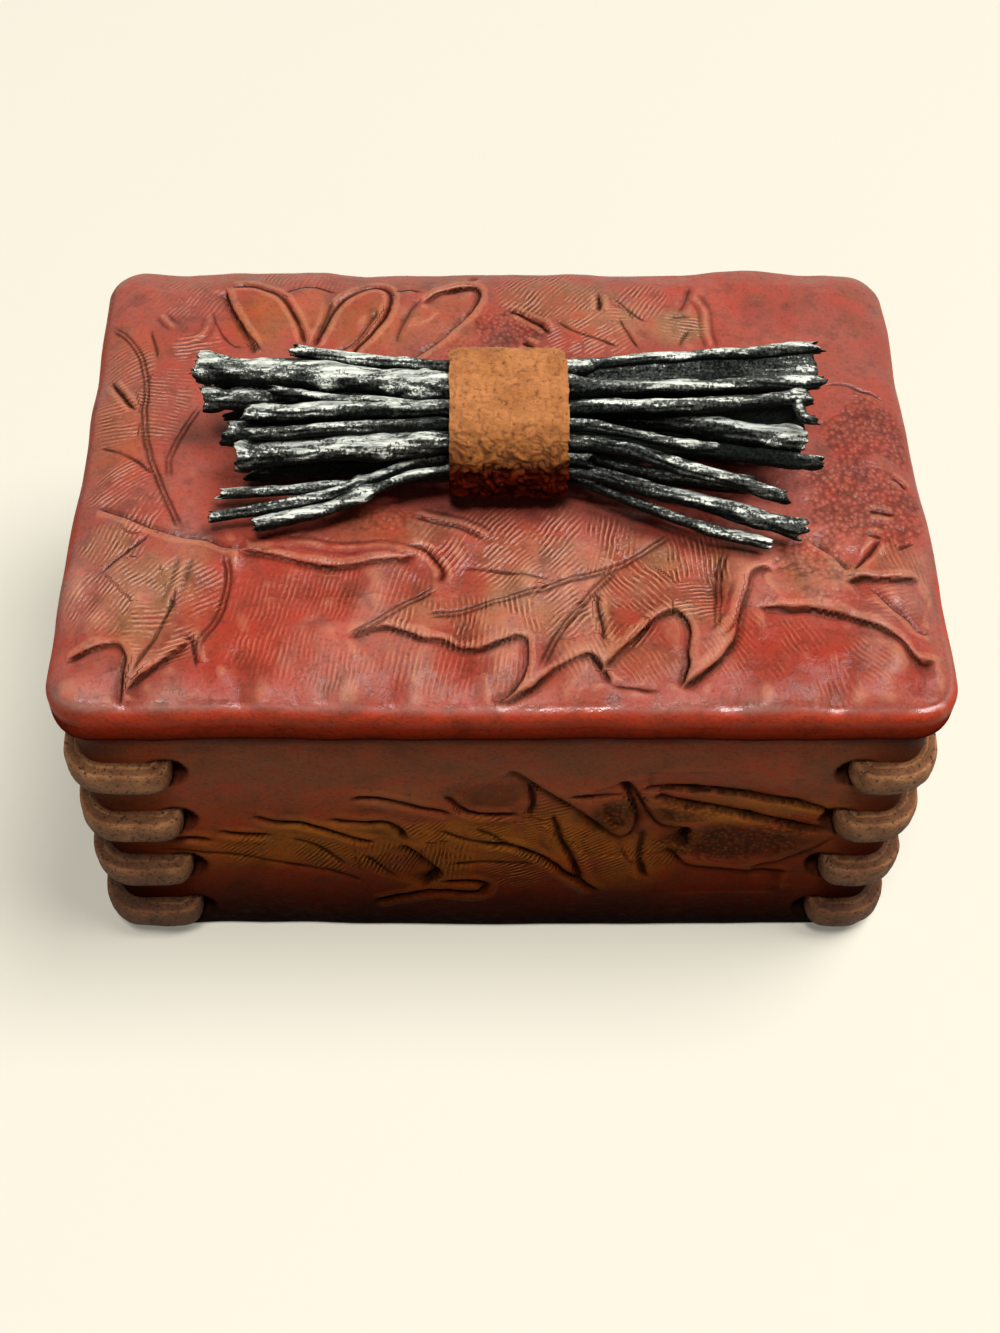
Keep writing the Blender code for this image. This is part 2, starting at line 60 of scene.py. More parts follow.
# The frame's own sizes
LID_LOW, LID_HIGH = (np.array(corner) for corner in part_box("lid"))
BODY_LOW, BODY_HIGH = (np.array(corner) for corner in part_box("box_body"))
BAND_LOW, BAND_HIGH = (np.array(corner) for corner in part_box("tie_band"))
LID_WIDTH, LID_DEPTH = (LID_HIGH - LID_LOW)[:2]
BODY_WIDTH, BODY_DEPTH, BODY_HEIGHT = BODY_HIGH - BODY_LOW
LID_TOP = LID_HIGH[2]
LID_SEAT = BODY_HEIGHT + 0.3 * MM
WALL = 5 * MM
BODY_CORNER = 3.6 * MM
LID_CORNER = BODY_CORNER + (LID_WIDTH - BODY_WIDTH) / 2
PLUG_INSET = WALL + 0.8 * MM

# Paint, in linear RGB
RED = (0.236, 0.053, 0.034)
BRIGHT_RED = (0.330, 0.036, 0.018)
SIDE_RED = (0.330, 0.036, 0.012)
DUSKY_RED = (0.190, 0.042, 0.030)
BROWN = (0.140, 0.055, 0.024)
OLIVE = (0.220, 0.104, 0.040)
ORANGE = (0.300, 0.077, 0.024)
GOLD = (0.250, 0.066, 0.011)
RUBBED_AND_HIGHLIGHT = (0.600, 0.270, 0.140)
CHIP = (0.750, 0.720, 0.680)
GROOVE_WASH_AND_SHADE = (0.014, 0.006, 0.003)
UNDERSIDE_SHADE = (0.050, 0.006, 0.004)
DEEP_RED_SHADE = (0.235, 0.024, 0.011)
ROSE_HIGHLIGHT = (0.335, 0.122, 0.086)
TAN = (0.300, 0.124, 0.066)
WALL_TOP = (0.265, 0.058, 0.021)
WALL_LEAF = (0.330, 0.120, 0.016)
WALL_GROUND = (0.066, 0.021, 0.006)
WALL_RUBBED_AND_HIGHLIGHT = (0.420, 0.170, 0.030)
LACE_DARK, LACE_PALE = (0.240, 0.092, 0.032), (0.430, 0.190, 0.075)
BAND_DARK, BAND_PALE = (0.440, 0.150, 0.038), (0.600, 0.235, 0.072)
BAND_GOLD, BAND_SHADE_BENEATH = (0.345, 0.114, 0.010), (0.085, 0.004, 0.001)
BARK_BLACK, BARK_GREY = (0.002, 0.003, 0.003), (0.011, 0.013, 0.010)
SILVER_DULL, SILVER = (0.240, 0.255, 0.235), (0.760, 0.790, 0.700)
BACKGROUND = (0.965, 0.914, 0.766)
FLOOR_LIGHTING, FLOOR_SHOWN = (0.300, 0.270, 0.210), (0.580, 0.550, 0.458)

# The resins' finish: the colour where they are rubbed and take painted highlights, and how worn, shiny
# and rough they are, then half the width of a fine line in mm and how deep the fine work looks
LID_FINISH = (RUBBED_AND_HIGHLIGHT, 0.26, 0.26, 0.29, 0.17, 1.0)
BODY_FINISH = (WALL_RUBBED_AND_HIGHLIGHT, 0.07, 0.05, 0.45, 0.32, 2.0)

# Light: the background's strength for all that isn't seen directly, how much the floor glows and from
# where to where it gets to its full glow, in metres, and the lamps with their places, targets and sizes
# in metres and their power in watts
WORLD_STRENGTH = 0.04
FLOOR_HALF = 1.6
FLOOR_GLOW = 0.18
FLOOR_GLOW_START, FLOOR_GLOW_END = 0.16, 0.70
LAMPS = {
    "key": ((0.76, 0.10, 2.00), (0, 0, 0.04), 1.20, 57.0),
    "top": ((-0.10, -0.60, 2.05), (0, 0, 0.04), 0.50, 27.0),
    "fill": ((-0.10, -0.45, 0.30), (0, 0, 0.03), 0.30, 0.12),
}

# Carving. A stroke is a kind, the side that it presses down (1 is the left as it runs, seen from the
# outside) and its points in photograph pixels.
LID_STROKES = (
    ("edge", -1, ((225, 287), (230, 303), (242, 325), (253, 344), (255, 353))),
    ("line", 0, ((236, 317), (249, 333), (263, 350))),
    ("cut", 0, ((230, 284), (249, 284), (267, 289), (283, 298), (296, 317), (303, 334), (305, 342))),
    ("line", 0, ((213, 309), (217, 325), (230, 341), (246, 345))),
    ("line", 0, ((283, 294), (296, 287), (314, 284), (338, 292))),
    ("wide", 0, ((332, 298), (325, 319), (313, 344))),
    ("cut", 0, ((313, 344), (324, 325), (338, 303), (355, 291), (372, 284), (386, 287), (391, 297),
                (386, 312), (375, 328), (358, 344), (346, 358), (338, 361))),
    ("wide", 0, ((378, 308), (367, 325), (352, 341), (330, 352), (314, 355))),
    ("line", 0, ((392, 291), (410, 287), (424, 292))),
    ("wide", 0, ((421, 295), (408, 312), (399, 331), (396, 344))),
    ("edge", -1, ((421, 302), (439, 291), (461, 284), (475, 284), (480, 291), (475, 303), (461, 319),
                  (439, 338), (418, 353), (396, 362))),
    ("wide", 0, ((468, 277), (477, 268))),
    ("rib", 0, ((108, 322), (124, 333), (138, 350), (144, 369), (146, 391), (144, 412), (146, 437),
                (152, 462), (163, 491), (171, 509), (180, 527))),
    ("cut", 0, ((107, 373), (117, 387), (130, 403), (136, 409))),
    ("line", 0, ((94, 441), (114, 448), (136, 459), (155, 475))),
    ("rib", 0, ((200, 403), (186, 425), (174, 444), (168, 462), (169, 478))),
    ("line", 0, ((150, 328), (155, 344), (158, 359))),
    ("ridge", 0, ((161, 312), (167, 320), (177, 328))),
    ("ridge", 0, ((188, 341), (205, 331), (210, 312))),
    ("edge", 1, ((94, 503), (121, 514), (155, 528), (180, 535), (208, 539), (224, 545), (249, 547))),
    ("edge", -1, ((236, 549), (267, 553), (311, 562), (346, 564), (374, 562), (417, 557))),
    ("ridge", 0, ((249, 544), (296, 542), (342, 547), (389, 547), (421, 553))),
    ("rib", 0, ((225, 553), (228, 571), (224, 596), (214, 621), (200, 639), (196, 655))),
    ("cut", 0, ((196, 667), (192, 642), (183, 632))),
    ("edge", 1, ((191, 639), (168, 655), (149, 667), (121, 688))),
    ("edge", -1, ((60, 655), (80, 650), (102, 644), (117, 644), (124, 655), (121, 674), (116, 699))),
    ("line", 0, ((152, 533), (127, 552), (96, 572))),
    ("line", 0, ((178, 583), (171, 605), (161, 624), (146, 649), (130, 674))),
    ("ridge", 0, ((186, 555), (178, 583), (167, 605))),
    ("cut", 0, ((405, 545), (424, 549), (436, 558), (443, 571), (438, 580))),
    ("rib", 0, ((436, 586), (405, 603), (377, 622), (347, 639))),
    ("edge", -1, ((347, 640), (368, 630), (389, 627), (408, 633), (421, 638), (442, 638), (461, 644),
                  (483, 646), (499, 642), (518, 636), (526, 639), (528, 652), (526, 668), (515, 684),
                  (499, 692), (490, 694))),
    ("edge", -1, ((490, 694), (512, 692), (534, 682), (553, 668), (572, 659), (590, 654), (600, 662),
                  (608, 673), (611, 682))),
    ("edge", -1, ((603, 668), (620, 649), (643, 627), (659, 612), (675, 608), (686, 616), (690, 630),
                  (687, 649), (689, 662), (681, 684))),
    ("line", 0, ((611, 682), (633, 684), (662, 686))),
    ("edge", -1, ((682, 684), (703, 671), (726, 652), (737, 633), (741, 611), (748, 588), (754, 571),
                  (767, 566), (773, 571))),
    ("ridge", 0, ((714, 639), (729, 617), (735, 601), (740, 579))),
    ("rib", 0, ((427, 616), (467, 607), (518, 595), (560, 584), (585, 576), (617, 564), (643, 550),
                (670, 534))),
    ("line", 0, ((461, 566), (480, 567), (512, 572), (549, 579))),
    ("rib", 0, ((617, 564), (601, 582), (579, 608), (557, 636), (541, 665))),
    ("cut", 0, ((600, 588), (598, 604), (603, 623), (604, 643))),
    ("rib", 0, ((726, 549), (719, 572), (719, 598), (716, 630))),
    ("edge", -1, ((757, 604), (786, 606), (818, 608), (850, 617), (882, 628), (901, 639), (920, 654),
                  (942, 654))),
    ("edge", 1, ((808, 537), (828, 550), (844, 566), (848, 571))),
    ("edge", -1, ((845, 582), (863, 576), (885, 577), (923, 574))),
    ("cut", 0, ((882, 536), (867, 553), (853, 571))),
    ("cut", 0, ((867, 510), (885, 511), (898, 513))),
    ("cut", 0, ((867, 533), (883, 536))),
    ("line", 0, ((917, 536), (898, 547))),
    ("edge", 1, ((869, 585), (888, 601), (907, 617), (922, 628), (936, 627))),
    ("line", 0, ((824, 386), (844, 384), (859, 389), (875, 392), (888, 397))),
    ("cut", 0, ((891, 474), (903, 477), (910, 484))),
    ("cut", 0, ((506, 309), (518, 312), (530, 318), (542, 325), (551, 335))),
    ("cut", 0, ((521, 340), (527, 343), (535, 347))),
    ("line", 0, ((555, 319), (568, 328), (584, 335), (602, 341), (619, 349))),
    ("cut", 0, ((598, 289), (600, 299), (599, 311))),
    ("line", 0, ((618, 316), (627, 333), (636, 346), (639, 351))),
    ("line", 0, ((612, 294), (627, 307), (637, 316), (648, 323))),
    ("wide", 0, ((689, 283), (686, 298), (677, 314))),
    ("ridge", 0, ((691, 295), (700, 303), (705, 314), (707, 333), (712, 349))),
    ("line", 0, ((690, 328), (682, 339), (679, 349))),
    ("line", 0, ((668, 319), (680, 316), (691, 319))),
    ("line", 0, ((411, 516), (436, 522), (461, 528), (486, 539))),
    ("ridge", 0, ((415, 511), (440, 517), (468, 524), (492, 536))),
)
WALL_STROKES = (
    ("cut", 0, ((349, 804), (368, 801), (392, 804), (423, 812), (452, 818))),
    ("cut", 0, ((444, 800), (459, 812), (478, 819), (520, 820))),
    ("cut", 0, ((251, 821), (273, 826), (300, 827), (331, 835), (355, 842), (375, 847))),
    ("cut", 0, ((328, 823), (361, 826), (383, 826), (398, 833), (406, 845))),
    ("cut", 0, ((216, 836), (239, 838), (273, 839))),
    ("cut", 0, ((165, 844), (190, 842), (214, 845))),
    ("line", 0, ((138, 850), (193, 855), (239, 859), (285, 867), (331, 875), (364, 885))),
    ("line", 0, ((291, 842), (315, 849), (334, 861), (346, 870))),
    ("line", 0, ((364, 859), (383, 873), (398, 882))),
    ("edge", 1, ((401, 849), (420, 861), (438, 876), (435, 882), (423, 891))),
    ("cut", 0, ((374, 904), (407, 898), (438, 894), (475, 896), (484, 893), (481, 887), (438, 885))),
    ("line", 0, ((438, 833), (469, 845), (520, 853))),
    ("line", 0, ((475, 833), (499, 844), (517, 852))),
    ("line", 0, ((450, 868), (484, 867), (534, 868))),
    ("edge", 1, ((510, 774), (528, 785), (553, 800), (572, 811), (592, 825), (608, 836), (620, 841),
                 (633, 836), (636, 822), (630, 803), (623, 784))),
    ("cut", 0, ((528, 789), (533, 806), (529, 822))),
    ("edge", 1, ((623, 784), (636, 800), (649, 819), (662, 830), (687, 832), (686, 841), (684, 851))),
    ("cut", 0, ((568, 800), (592, 801), (627, 800))),
    ("edge", -1, ((639, 797), (671, 796), (703, 797), (735, 800), (767, 806), (799, 811), (850, 822))),
    ("edge", -1, ((652, 803), (703, 812), (751, 822), (799, 832), (847, 836))),
    ("edge", 1, ((668, 851), (678, 863), (690, 870), (719, 873), (751, 876), (789, 878))),
    ("edge", 1, ((748, 871), (783, 863), (815, 851), (843, 836))),
    ("cut", 0, ((553, 819), (560, 841), (572, 863), (582, 883), (592, 892))),
    ("cut", 0, ((480, 849), (512, 851), (544, 863), (569, 878), (598, 894))),
    ("cut", 0, ((644, 836), (639, 857), (643, 876), (649, 881))),
    ("cut", 0, ((847, 857), (840, 873))),
)

# Patches of fine hatching: the middle in pixels, the half sizes along and across the lines in mm, the
# lines' direction in degrees from the right, anticlockwise seen from the outside, and the strength.
LID_HATCHES = (
    ((122, 365), 3.5, 3.6, 28, 1), ((112, 418), 4.6, 4.2, 3, 1), ((160, 405), 3.0, 6.0, -8, 1),
    ((196, 346), 3.0, 2.4, 12, 1), ((118, 480), 4.0, 2.6, 35, 1), ((140, 515), 3.5, 2.0, 60, 1),
    ((110, 540), 2.8, 3.6, 66, 1), ((100, 600), 3.4, 5.0, 58, 1), ((140, 585), 3.0, 4.4, 48, 1),
    ((150, 620), 3.0, 5.0, 8, 1), ((190, 585), 3.0, 4.0, 40, 1), ((165, 640), 3.0, 2.6, 20, 1),
    ((265, 600), 4.0, 3.8, 80, 0.4), ((330, 590), 4.4, 5.6, 80, 0.4), ((395, 590), 4.2, 4.2, 72, 0.4),
    ((275, 650), 3.5, 5.0, 80, 0.4), ((330, 665), 3.0, 4.0, 80, 0.4), ((430, 665), 3.5, 6.0, 80, 0.4),
    ((470, 622), 3.2, 7.5, 84, 1), ((425, 622), 2.4, 4.0, 80, 1), ((520, 615), 2.8, 4.0, 96, 1),
    ((505, 550), 4.6, 6.5, 47, 1), ((560, 545), 4.6, 5.0, 55, 1), ((455, 545), 3.2, 4.0, 62, 1),
    ((600, 545), 4.0, 3.6, 80, 1), ((640, 590), 4.2, 5.2, 128, 1), ((560, 610), 3.2, 4.6, 40, 1),
    ((625, 620), 3.0, 3.6, 55, 1), ((690, 560), 3.6, 4.6, 96, 1), ((695, 595), 2.8, 3.4, 10, 1),
    ((500, 665), 2.6, 3.6, 82, 0.4), ((580, 650), 2.6, 3.6, 118, 0.4), ((650, 655), 3.2, 3.6, 118, 0.4),
    ((745, 640), 4.0, 5.0, 120, 0.4), ((790, 650), 5.0, 4.6, 112, 0.4), ((868, 657), 3.4, 2.4, 130, 0.4),
    ((820, 675), 4.0, 5.0, 105, 0.4), ((905, 560), 3.2, 3.0, 100, 0.4), ((890, 600), 3.0, 3.0, 20, 0.4),
    ((540, 292), 5.0, 4.4, 52, 1), ((575, 302), 4.0, 3.6, 48, 1), ((590, 328), 4.0, 5.0, 38, 1),
    ((565, 340), 3.0, 3.0, 34, 1), ((617, 314), 2.0, 1.8, 4, 1), ((680, 326), 2.6, 2.2, -14, 1),
    ((640, 300), 3.4, 3.0, 60, 1), ((300, 275), 2.2, 6.0, 75, 0.4), ((190, 298), 3.5, 4.5, 60, 0.4),
)
WALL_HATCHES = (
    ((430, 833), 2.0, 3.0, 50, 1), ((448, 862), 4.0, 2.6, 84, 1), ((500, 838), 2.6, 3.8, 30, 1),
    ((548, 814), 2.6, 2.0, 12, 1), ((530, 835), 2.8, 2.4, 22, 1), ((590, 855), 2.4, 5.5, 35, 1),
    ((520, 872), 3.6, 3.4, 35, 1), ((248, 851), 3.0, 2.0, 50, 1), ((330, 858), 3.0, 4.0, 50, 1),
    ((385, 862), 3.0, 4.0, 70, 1), ((655, 858), 2.0, 3.0, 60, 1),
)

# Crackled ground: middle in pixels, half sizes in mm and strength
LID_CRACKLES = (
    ((880, 430), 8.5, 6.5, 1.0), ((868, 500), 9.5, 8.0, 1.0), ((815, 560), 6.5, 4.5, 0.9),
    ((835, 590), 6.0, 3.0, 0.7), ((510, 328), 5.5, 5.0, 1.0), ((450, 350), 6.0, 3.0, 0.7),
    ((390, 520), 6.0, 2.4, 0.8), ((300, 530), 5.0, 2.0, 0.5),
)
WALL_CRACKLES = (
    ((735, 845), 11.0, 5.0, 1.0), ((690, 815), 5.0, 2.6, 0.9), ((615, 818), 3.6, 3.8, 1.0),
    ((480, 792), 5.0, 4.0, 0.5), ((800, 830), 6.0, 3.0, 0.9),
)

# Paint laid over the ground: middle in pixels, half sizes in mm, colour and strength
LID_TINTS = (
    ((262, 318), 4.5, 6.0, GOLD, 0.75), ((262, 322), 3.2, 2.4, BROWN, 0.35),
    ((312, 312), 3.2, 5.5, ORANGE, 0.55), ((358, 318), 4.5, 6.0, GOLD, 0.50),
    ((400, 325), 3.0, 5.0, ORANGE, 0.55), ((448, 318), 5.0, 5.5, ORANGE, 0.40),
    ((128, 345), 5.0, 5.0, ORANGE, 0.35), ((112, 430), 5.0, 9.0, ORANGE, 0.45),
    ((560, 300), 9.0, 5.0, OLIVE, 0.45), ((610, 325), 7.0, 5.0, ORANGE, 0.40),
    ((678, 325), 4.0, 3.6, OLIVE, 0.75), ((620, 315), 3.0, 2.4, OLIVE, 0.60),
    ((655, 290), 4.0, 3.0, BRIGHT_RED, 0.4), ((720, 300), 6.0, 5.0, BRIGHT_RED, 0.30),
    ((757, 298), 1.4, 1.2, BROWN, 0.7), ((853, 292), 1.8, 1.6, BROWN, 0.6),
    ((855, 320), 2.0, 2.6, BROWN, 0.5), ((800, 300), 2.6, 2.4, BROWN, 0.3),
    ((520, 335), 6.0, 4.5, DUSKY_RED, 0.6), ((195, 300), 5.0, 4.0, DUSKY_RED, 0.4),
    ((240, 277), 9.0, 2.6, BROWN, 0.35), ((430, 280), 7.0, 2.0, BROWN, 0.35),
    ((110, 545), 4.0, 4.0, OLIVE, 0.45), ((140, 605), 5.0, 9.0, OLIVE, 0.60),
    ((190, 570), 3.4, 5.0, OLIVE, 0.45), ((205, 600), 3.0, 5.0, ORANGE, 0.35),
    ((90, 670), 5.0, 4.0, DUSKY_RED, 0.5), ((150, 680), 5.0, 3.0, DUSKY_RED, 0.4),
    ((265, 570), 7.0, 3.0, BRIGHT_RED, 0.55), ((290, 620), 10.0, 5.0, BRIGHT_RED, 0.50),
    ((250, 650), 5.0, 4.0, BRIGHT_RED, 0.40), ((330, 660), 8.0, 4.0, BRIGHT_RED, 0.35),
    ((455, 600), 6.0, 5.0, OLIVE, 0.45), ((520, 600), 6.0, 5.0, OLIVE, 0.35),
    ((540, 555), 9.0, 4.0, OLIVE, 0.35), ((590, 620), 6.0, 6.0, OLIVE, 0.40),
    ((640, 560), 6.0, 4.0, OLIVE, 0.50), ((690, 580), 5.0, 5.0, OLIVE, 0.40),
    ((625, 575), 3.0, 3.0, ORANGE, 0.45), ((640, 655), 5.0, 3.5, ORANGE, 0.30),
    ((520, 650), 4.0, 4.0, DUSKY_RED, 0.4), ((735, 560), 3.0, 5.0, ORANGE, 0.40),
    ((730, 620), 4.0, 5.0, BRIGHT_RED, 0.35), ((800, 640), 8.0, 5.0, BRIGHT_RED, 0.30),
    ((868, 657), 3.2, 2.2, DUSKY_RED, 0.6), ((880, 600), 6.0, 4.0, DUSKY_RED, 0.4),
    ((905, 555), 4.0, 3.0, OLIVE, 0.35), ((820, 570), 6.0, 3.0, OLIVE, 0.40),
    ((870, 460), 9.0, 10.0, DUSKY_RED, 0.45), ((800, 585), 5.0, 2.0, OLIVE, 0.3),
    ((560, 690), 9.0, 2.6, ORANGE, 0.30), ((380, 530), 8.0, 3.0, OLIVE, 0.35),
    ((650, 700), 10.0, 3.0, BRIGHT_RED, 0.35), ((770, 420), 16.0, 12.0, DUSKY_RED, 0.20),
    ((490, 610), 9.0, 4.0, TAN, 0.70), ((580, 575), 8.0, 5.0, TAN, 0.50),
    ((690, 590), 6.0, 6.0, TAN, 0.40), ((615, 315), 8.0, 4.0, TAN, 0.30),
    ((800, 310), 9.0, 5.0, DUSKY_RED, 0.35), ((956, 697), 0.8, 0.7, CHIP, 1.0),
)
WALL_TINTS = (
    ((300, 775), 18.0, 4.0, BROWN, 0.45), ((560, 768), 20.0, 4.0, BROWN, 0.40),
    ((330, 845), 15.0, 6.0, WALL_LEAF, 0.75), ((240, 855), 9.0, 4.0, WALL_LEAF, 0.45),
    ((470, 850), 9.0, 7.0, WALL_LEAF, 0.75), ((560, 845), 9.0, 7.0, WALL_LEAF, 0.60),
    ((640, 865), 6.0, 7.0, WALL_LEAF, 0.55), ((440, 885), 7.0, 3.0, WALL_LEAF, 0.60),
    ((610, 882), 7.0, 3.0, WALL_LEAF, 0.50), ((740, 815), 14.0, 3.0, WALL_LEAF, 0.55),
    ((735, 845), 11.0, 4.5, WALL_GROUND, 0.80), ((612, 822), 4.2, 3.6, WALL_GROUND, 0.85),
    ((672, 818), 4.0, 2.4, WALL_GROUND, 0.75), ((486, 800), 6.0, 3.0, WALL_GROUND, 0.60),
    ((850, 770), 7.0, 4.0, BROWN, 0.45), ((200, 790), 7.0, 4.0, BRIGHT_RED, 0.12),
    ((400, 800), 6.0, 3.0, OLIVE, 0.35), ((690, 780), 9.0, 3.0, BRIGHT_RED, 0.12),
)

# How the noise turns a cell's numbers and a seed into a value
SEED_STEP, SEED_START = 7919, 104729
AXIS_PRIMES = (73856093, 19349663, 83492791)
MIXING = ((13, 1274126177), (16, 668265263))
FULL_RANGE, HALF_RANGE = 0xFFFFFFFF, 0xFFFF

# Relief from noise: heights and sizes in mm, and seeds
LID_ROLL = ((0.20, 17, 3), (0.18, 7, 4), (0.11, 2.4, 6), (0.025, 1.1, 7))
LID_LUMPS = ((0.62, 4.6, 5), (0.28, 2.4, 15))
LID_KNOCKS = ((0.34, 3.2, 16),)
LID_WAVE = ((0.28, 13, 8), (0.12, 5, 9))
WALL_ROLL = ((0.18, 15, 12), (0.08, 6, 13))
HATCH_BEND = ((0.40, 4.5, 31), (0.10, 1.5, 32))
TWIG_SWAY = ((0.30, 9, 200), (0.12, 3, 204))
TWIG_RISE = ((0.18, 6, 201),)
LOG_STREAKS = ((0.22, 0.8, 401),)
LOG_PITS = ((0.12, 0.6, 402),)
LOG_END = ((0.9, 1.2, 403),)

# What a stroke is across: bumps of height in mm and of dark wash and painted shade, each with its
# strength and, in mm, how far off the stroke it lies and how wide it is
PROFILES = {
    "rib": (((-0.13, 0.28, 0.26), (0.09, 0, 0.28)), ((0.15, 0.28, 0.26), (0.15, 0, 0.80))),
    "cut": (((-0.34, 0, 0.34), (0.14, 0.80, 0.45)), ((0.28, 0, 0.36),)),
    "line": (((-0.16, 0, 0.30),), ((0.14, 0, 0.34),)),
    "wide": (((-0.26, 0, 0.60),), ((0.28, 0, 0.50),)),
    "ridge": (((0.14, 0, 0.40), (-0.12, 0.75, 0.28)), ((0.40, 0.75, 0.28),)),
    "edge": (((-0.28, 0, 0.32),), ((0.25, 0, 0.36),)),
}

# Beside an edge, height and how far it reaches, both in mm: where the ground is pressed down, where it
# stands up, and the foot of the latter, then how strong the painted shade on the pressed side is and its
# reach
EDGE_FALL = (-0.55, 2.2)
EDGE_SHOULDER = (0.24, 2.4)
EDGE_SHOULDER_FOOT = 0.5
EDGE_SHADE = (0.30, 0.8)

# Painted shade on the wall, by its distance from the foot or the corner: where that starts to fade, over
# how many mm, and how much red, green and blue it takes away
FOOT_SHADES = ((1.1, 36, (0.60, 0.80, 0.92)), (1.0, 18, (0.985, 1.0, 1.0)))
CORNER_SHADE = (1.15, 8, (0.72, 0.72, 0.72))

# The band's left and right edges, with how ragged they are in mm and a seed, its wide and narrow
# creases, with their size in mm and a seed, how these are bent along each axis, with heights and sizes
# in mm and seeds, how far below its top it gets crumpled and over how many mm, and the way round its
# inner face, as shares of its half width and of its thickness
BAND_RAGGED = ((0.14, 195), (0.30, 95))
BAND_CREASES = ((1.3, 131), (0.7, 132))
BAND_WARP = ((0.55, 1.7, 91), (0.55, 1.7, 92), (0.55, 1.7, 93))
BAND_CRUMPLING = (0.6, 5.5)
BAND_UNDERSIDE = [(1.0, 0.5), (0.985, 1.0), (-0.985, 1.0), (-1.0, 0.5)]

# A small dent in the lid: its middle in pixels and its half sizes in mm
LID_DENT = ((868, 657), 3.6, 2.6)

# The lid: its grid, its edges' rounding above and below, how its top falls away towards them, its plug
# and how deep its dent is and its carving lies
LID_GRID = 0.25 * MM
LID_TOP_ROUND = 1.4 * MM
LID_UNDER_ROUND = 1.4 * MM
LID_FALL = 2.3 * MM
LID_FALL_REACH = 10 * MM
LID_FALL_POWER = 2.6
PLUG_EASE = 1.8 * MM
LID_DENT_DEPTH = 0.22 * MM
LID_SINK = 0.12 * MM
LUMP_SQUEEZE = np.array([1.0, 0.50])
KNOCK_SQUEEZE = np.array([1.0, 0.7])

# Where the lid's front begins, in mm before the middle, and over how many mm it comes in
FRONT_LUMPS = (8, 12)
FRONT_KNOCKS = (26, 6)
FRONT_PAINT = (6, 12)
FRONT_SHEEN = (16, 14)

# Over how many mm from the lid's edge its work fades in, and how far in its knocks, its waves and its
# duskier paint reach
FADE_IN = {"relief": 1.2, "line": 1, "worn": 2, "crackle": 2, "hatch": 3}
KNOCK_REACH, WAVE_REACH, DUSK_REACH = 6, 7, 8

# The front ridge, painted paler as a highlight, and where its sheen lies as the edge turns over
RIDGE_PLACE, RIDGE_WIDTH = 2.2 * MM, 1.5 * MM
SHEEN_LEAN, SHEEN_WIDTH = 0.46, 0.22

# The body: its grid, the rounding of its edges and inner corners, and how deep its carving lies and how
# much it is deepened and widened
WALL_GRID = 0.36 * MM
RIM_ROUND = 1.5 * MM
RIM_INNER_ROUND = 0.5 * MM
FOOT_ROUND = 0.8 * MM
FLOOR_ROUND = 1.5 * MM
INNER_CORNER = 3 * MM
WALL_SINK = 0.40 * MM
WALL_DEPTH = 1.7
WALL_BREADTH = 1.4

# Where the other walls take up the front's carving
RIGHT_SHIFT, LEFT_SHIFT = 12 * MM, 8 * MM

# In from the corners and down from the rim, where the carving begins and over how many mm, and up from
# the foot, the same for the sheen, and up from the rim, the same for the painted shade under the lid
CORNER_FADE = (3, 5)
RIM_FADE = (3, 2)
FOOT_FADE = (24, 14)
RIM_SHADE = (-2.8, 1.5)

# The fine work of both: strokes, their dark middle lines with painted shade, hatching, pebbles, and
# wear with painted highlights on crests and painted shade in hollows
STROKE_REACH = 4.5 * MM
STROKE_TAPER = 1.6 * MM
LINE_REACH = 1.4 * MM
LINE_FADE = 0.85 * MM
RIB_HALF_WIDTH = 0.28 * MM
LINE_STRENGTH = {"rib": 0.70, "cut": 1.0, "line": 0.75, "ridge": 0.0, "wide": 0.55, "edge": 1.0}
HATCH_PITCH = 0.60 * MM
LID_HATCH_GROWTH = 1.42
WALL_HATCH_GROWTH = 1.65
PEBBLE_SIZE = 0.62 * MM
WEAR_REACH = 4

# The laces with their holes, the band and the twigs
LACE_CORNERS = (("front_left", -1, -1), ("front_right", 1, -1), ("back_left", -1, 1), ("back_right", 1, 1))
LACE_LEG = 0.8 * MM
LACE_WEAR = 0.10 * MM
HOLE_HALF_WIDTH = 2.3 * MM
HOLE_HALF_HEIGHT = 2.6 * MM
HOLE_DEPTH = 2.7 * MM
HOLE_EDGE, HOLE_SLOPE = 0.04, 0.16
HOLE_SHADE, HOLE_SHADE_SLOPE = 0.30, 0.34
BAND_THICKNESS = 1.1 * MM
BAND_LIP = 0.35 * MM
BAND_EASING = 40
BAND_ROUND_STEPS = 560
BAND_ACROSS_STEPS = 130
TWIG_STEP = 0.32 * MM
TWIG_SIDES = 44
END_REACH = 3.2 * MM
END_JAG = 0.95 * MM
TWIG_RUGGEDNESS = 0.25
STUB_RUGGEDNESS = 0.16
TWIG_SEED, TWIG_SEED_STEP, STUB_SEED = 300, 11, 600

# The rings that close a twig's broken end: how wide they are, how deep they lie in mm, how much of the
# end's jags they keep and how far they stand out
END_RINGS = ((0.80, 0.10, 1.0, 0.4), (0.62, 1.5, 0.2, -3.0))

# Knots, burls and collars: the twig, the place in pixels, half the length in mm and the swelling
TWIG_KNOTS = (
    (2, (427, 386), 2.8, 0.26), (2, (206, 365), 1.4, 0.16), (2, (330, 372), 1.2, 0.10),
    (3, (395, 408), 0.7, 0.30), (3, (262, 412), 1.0, 0.20), (3, (800, 402), 1.2, 0.35),
    (5, (382, 455), 1.6, 0.26), (5, (421, 450), 2.4, 0.30), (5, (234, 458), 1.5, 0.28),
    (6, (364, 494), 1.3, 0.50), (7, (359, 484), 0.8, 0.45), (9, (206, 396), 1.2, 0.20),
    (9, (792, 438), 2.6, 0.32), (1, (788, 350), 2.0, 0.30), (2, (800, 385), 1.6, 0.22),
    (8, (700, 500), 1.0, 0.18), (6, (740, 500), 1.2, 0.16), (4, (690, 440), 0.9, 0.20),
)
TWIG_THINNED = ((6, (364, 494), 0.80),)

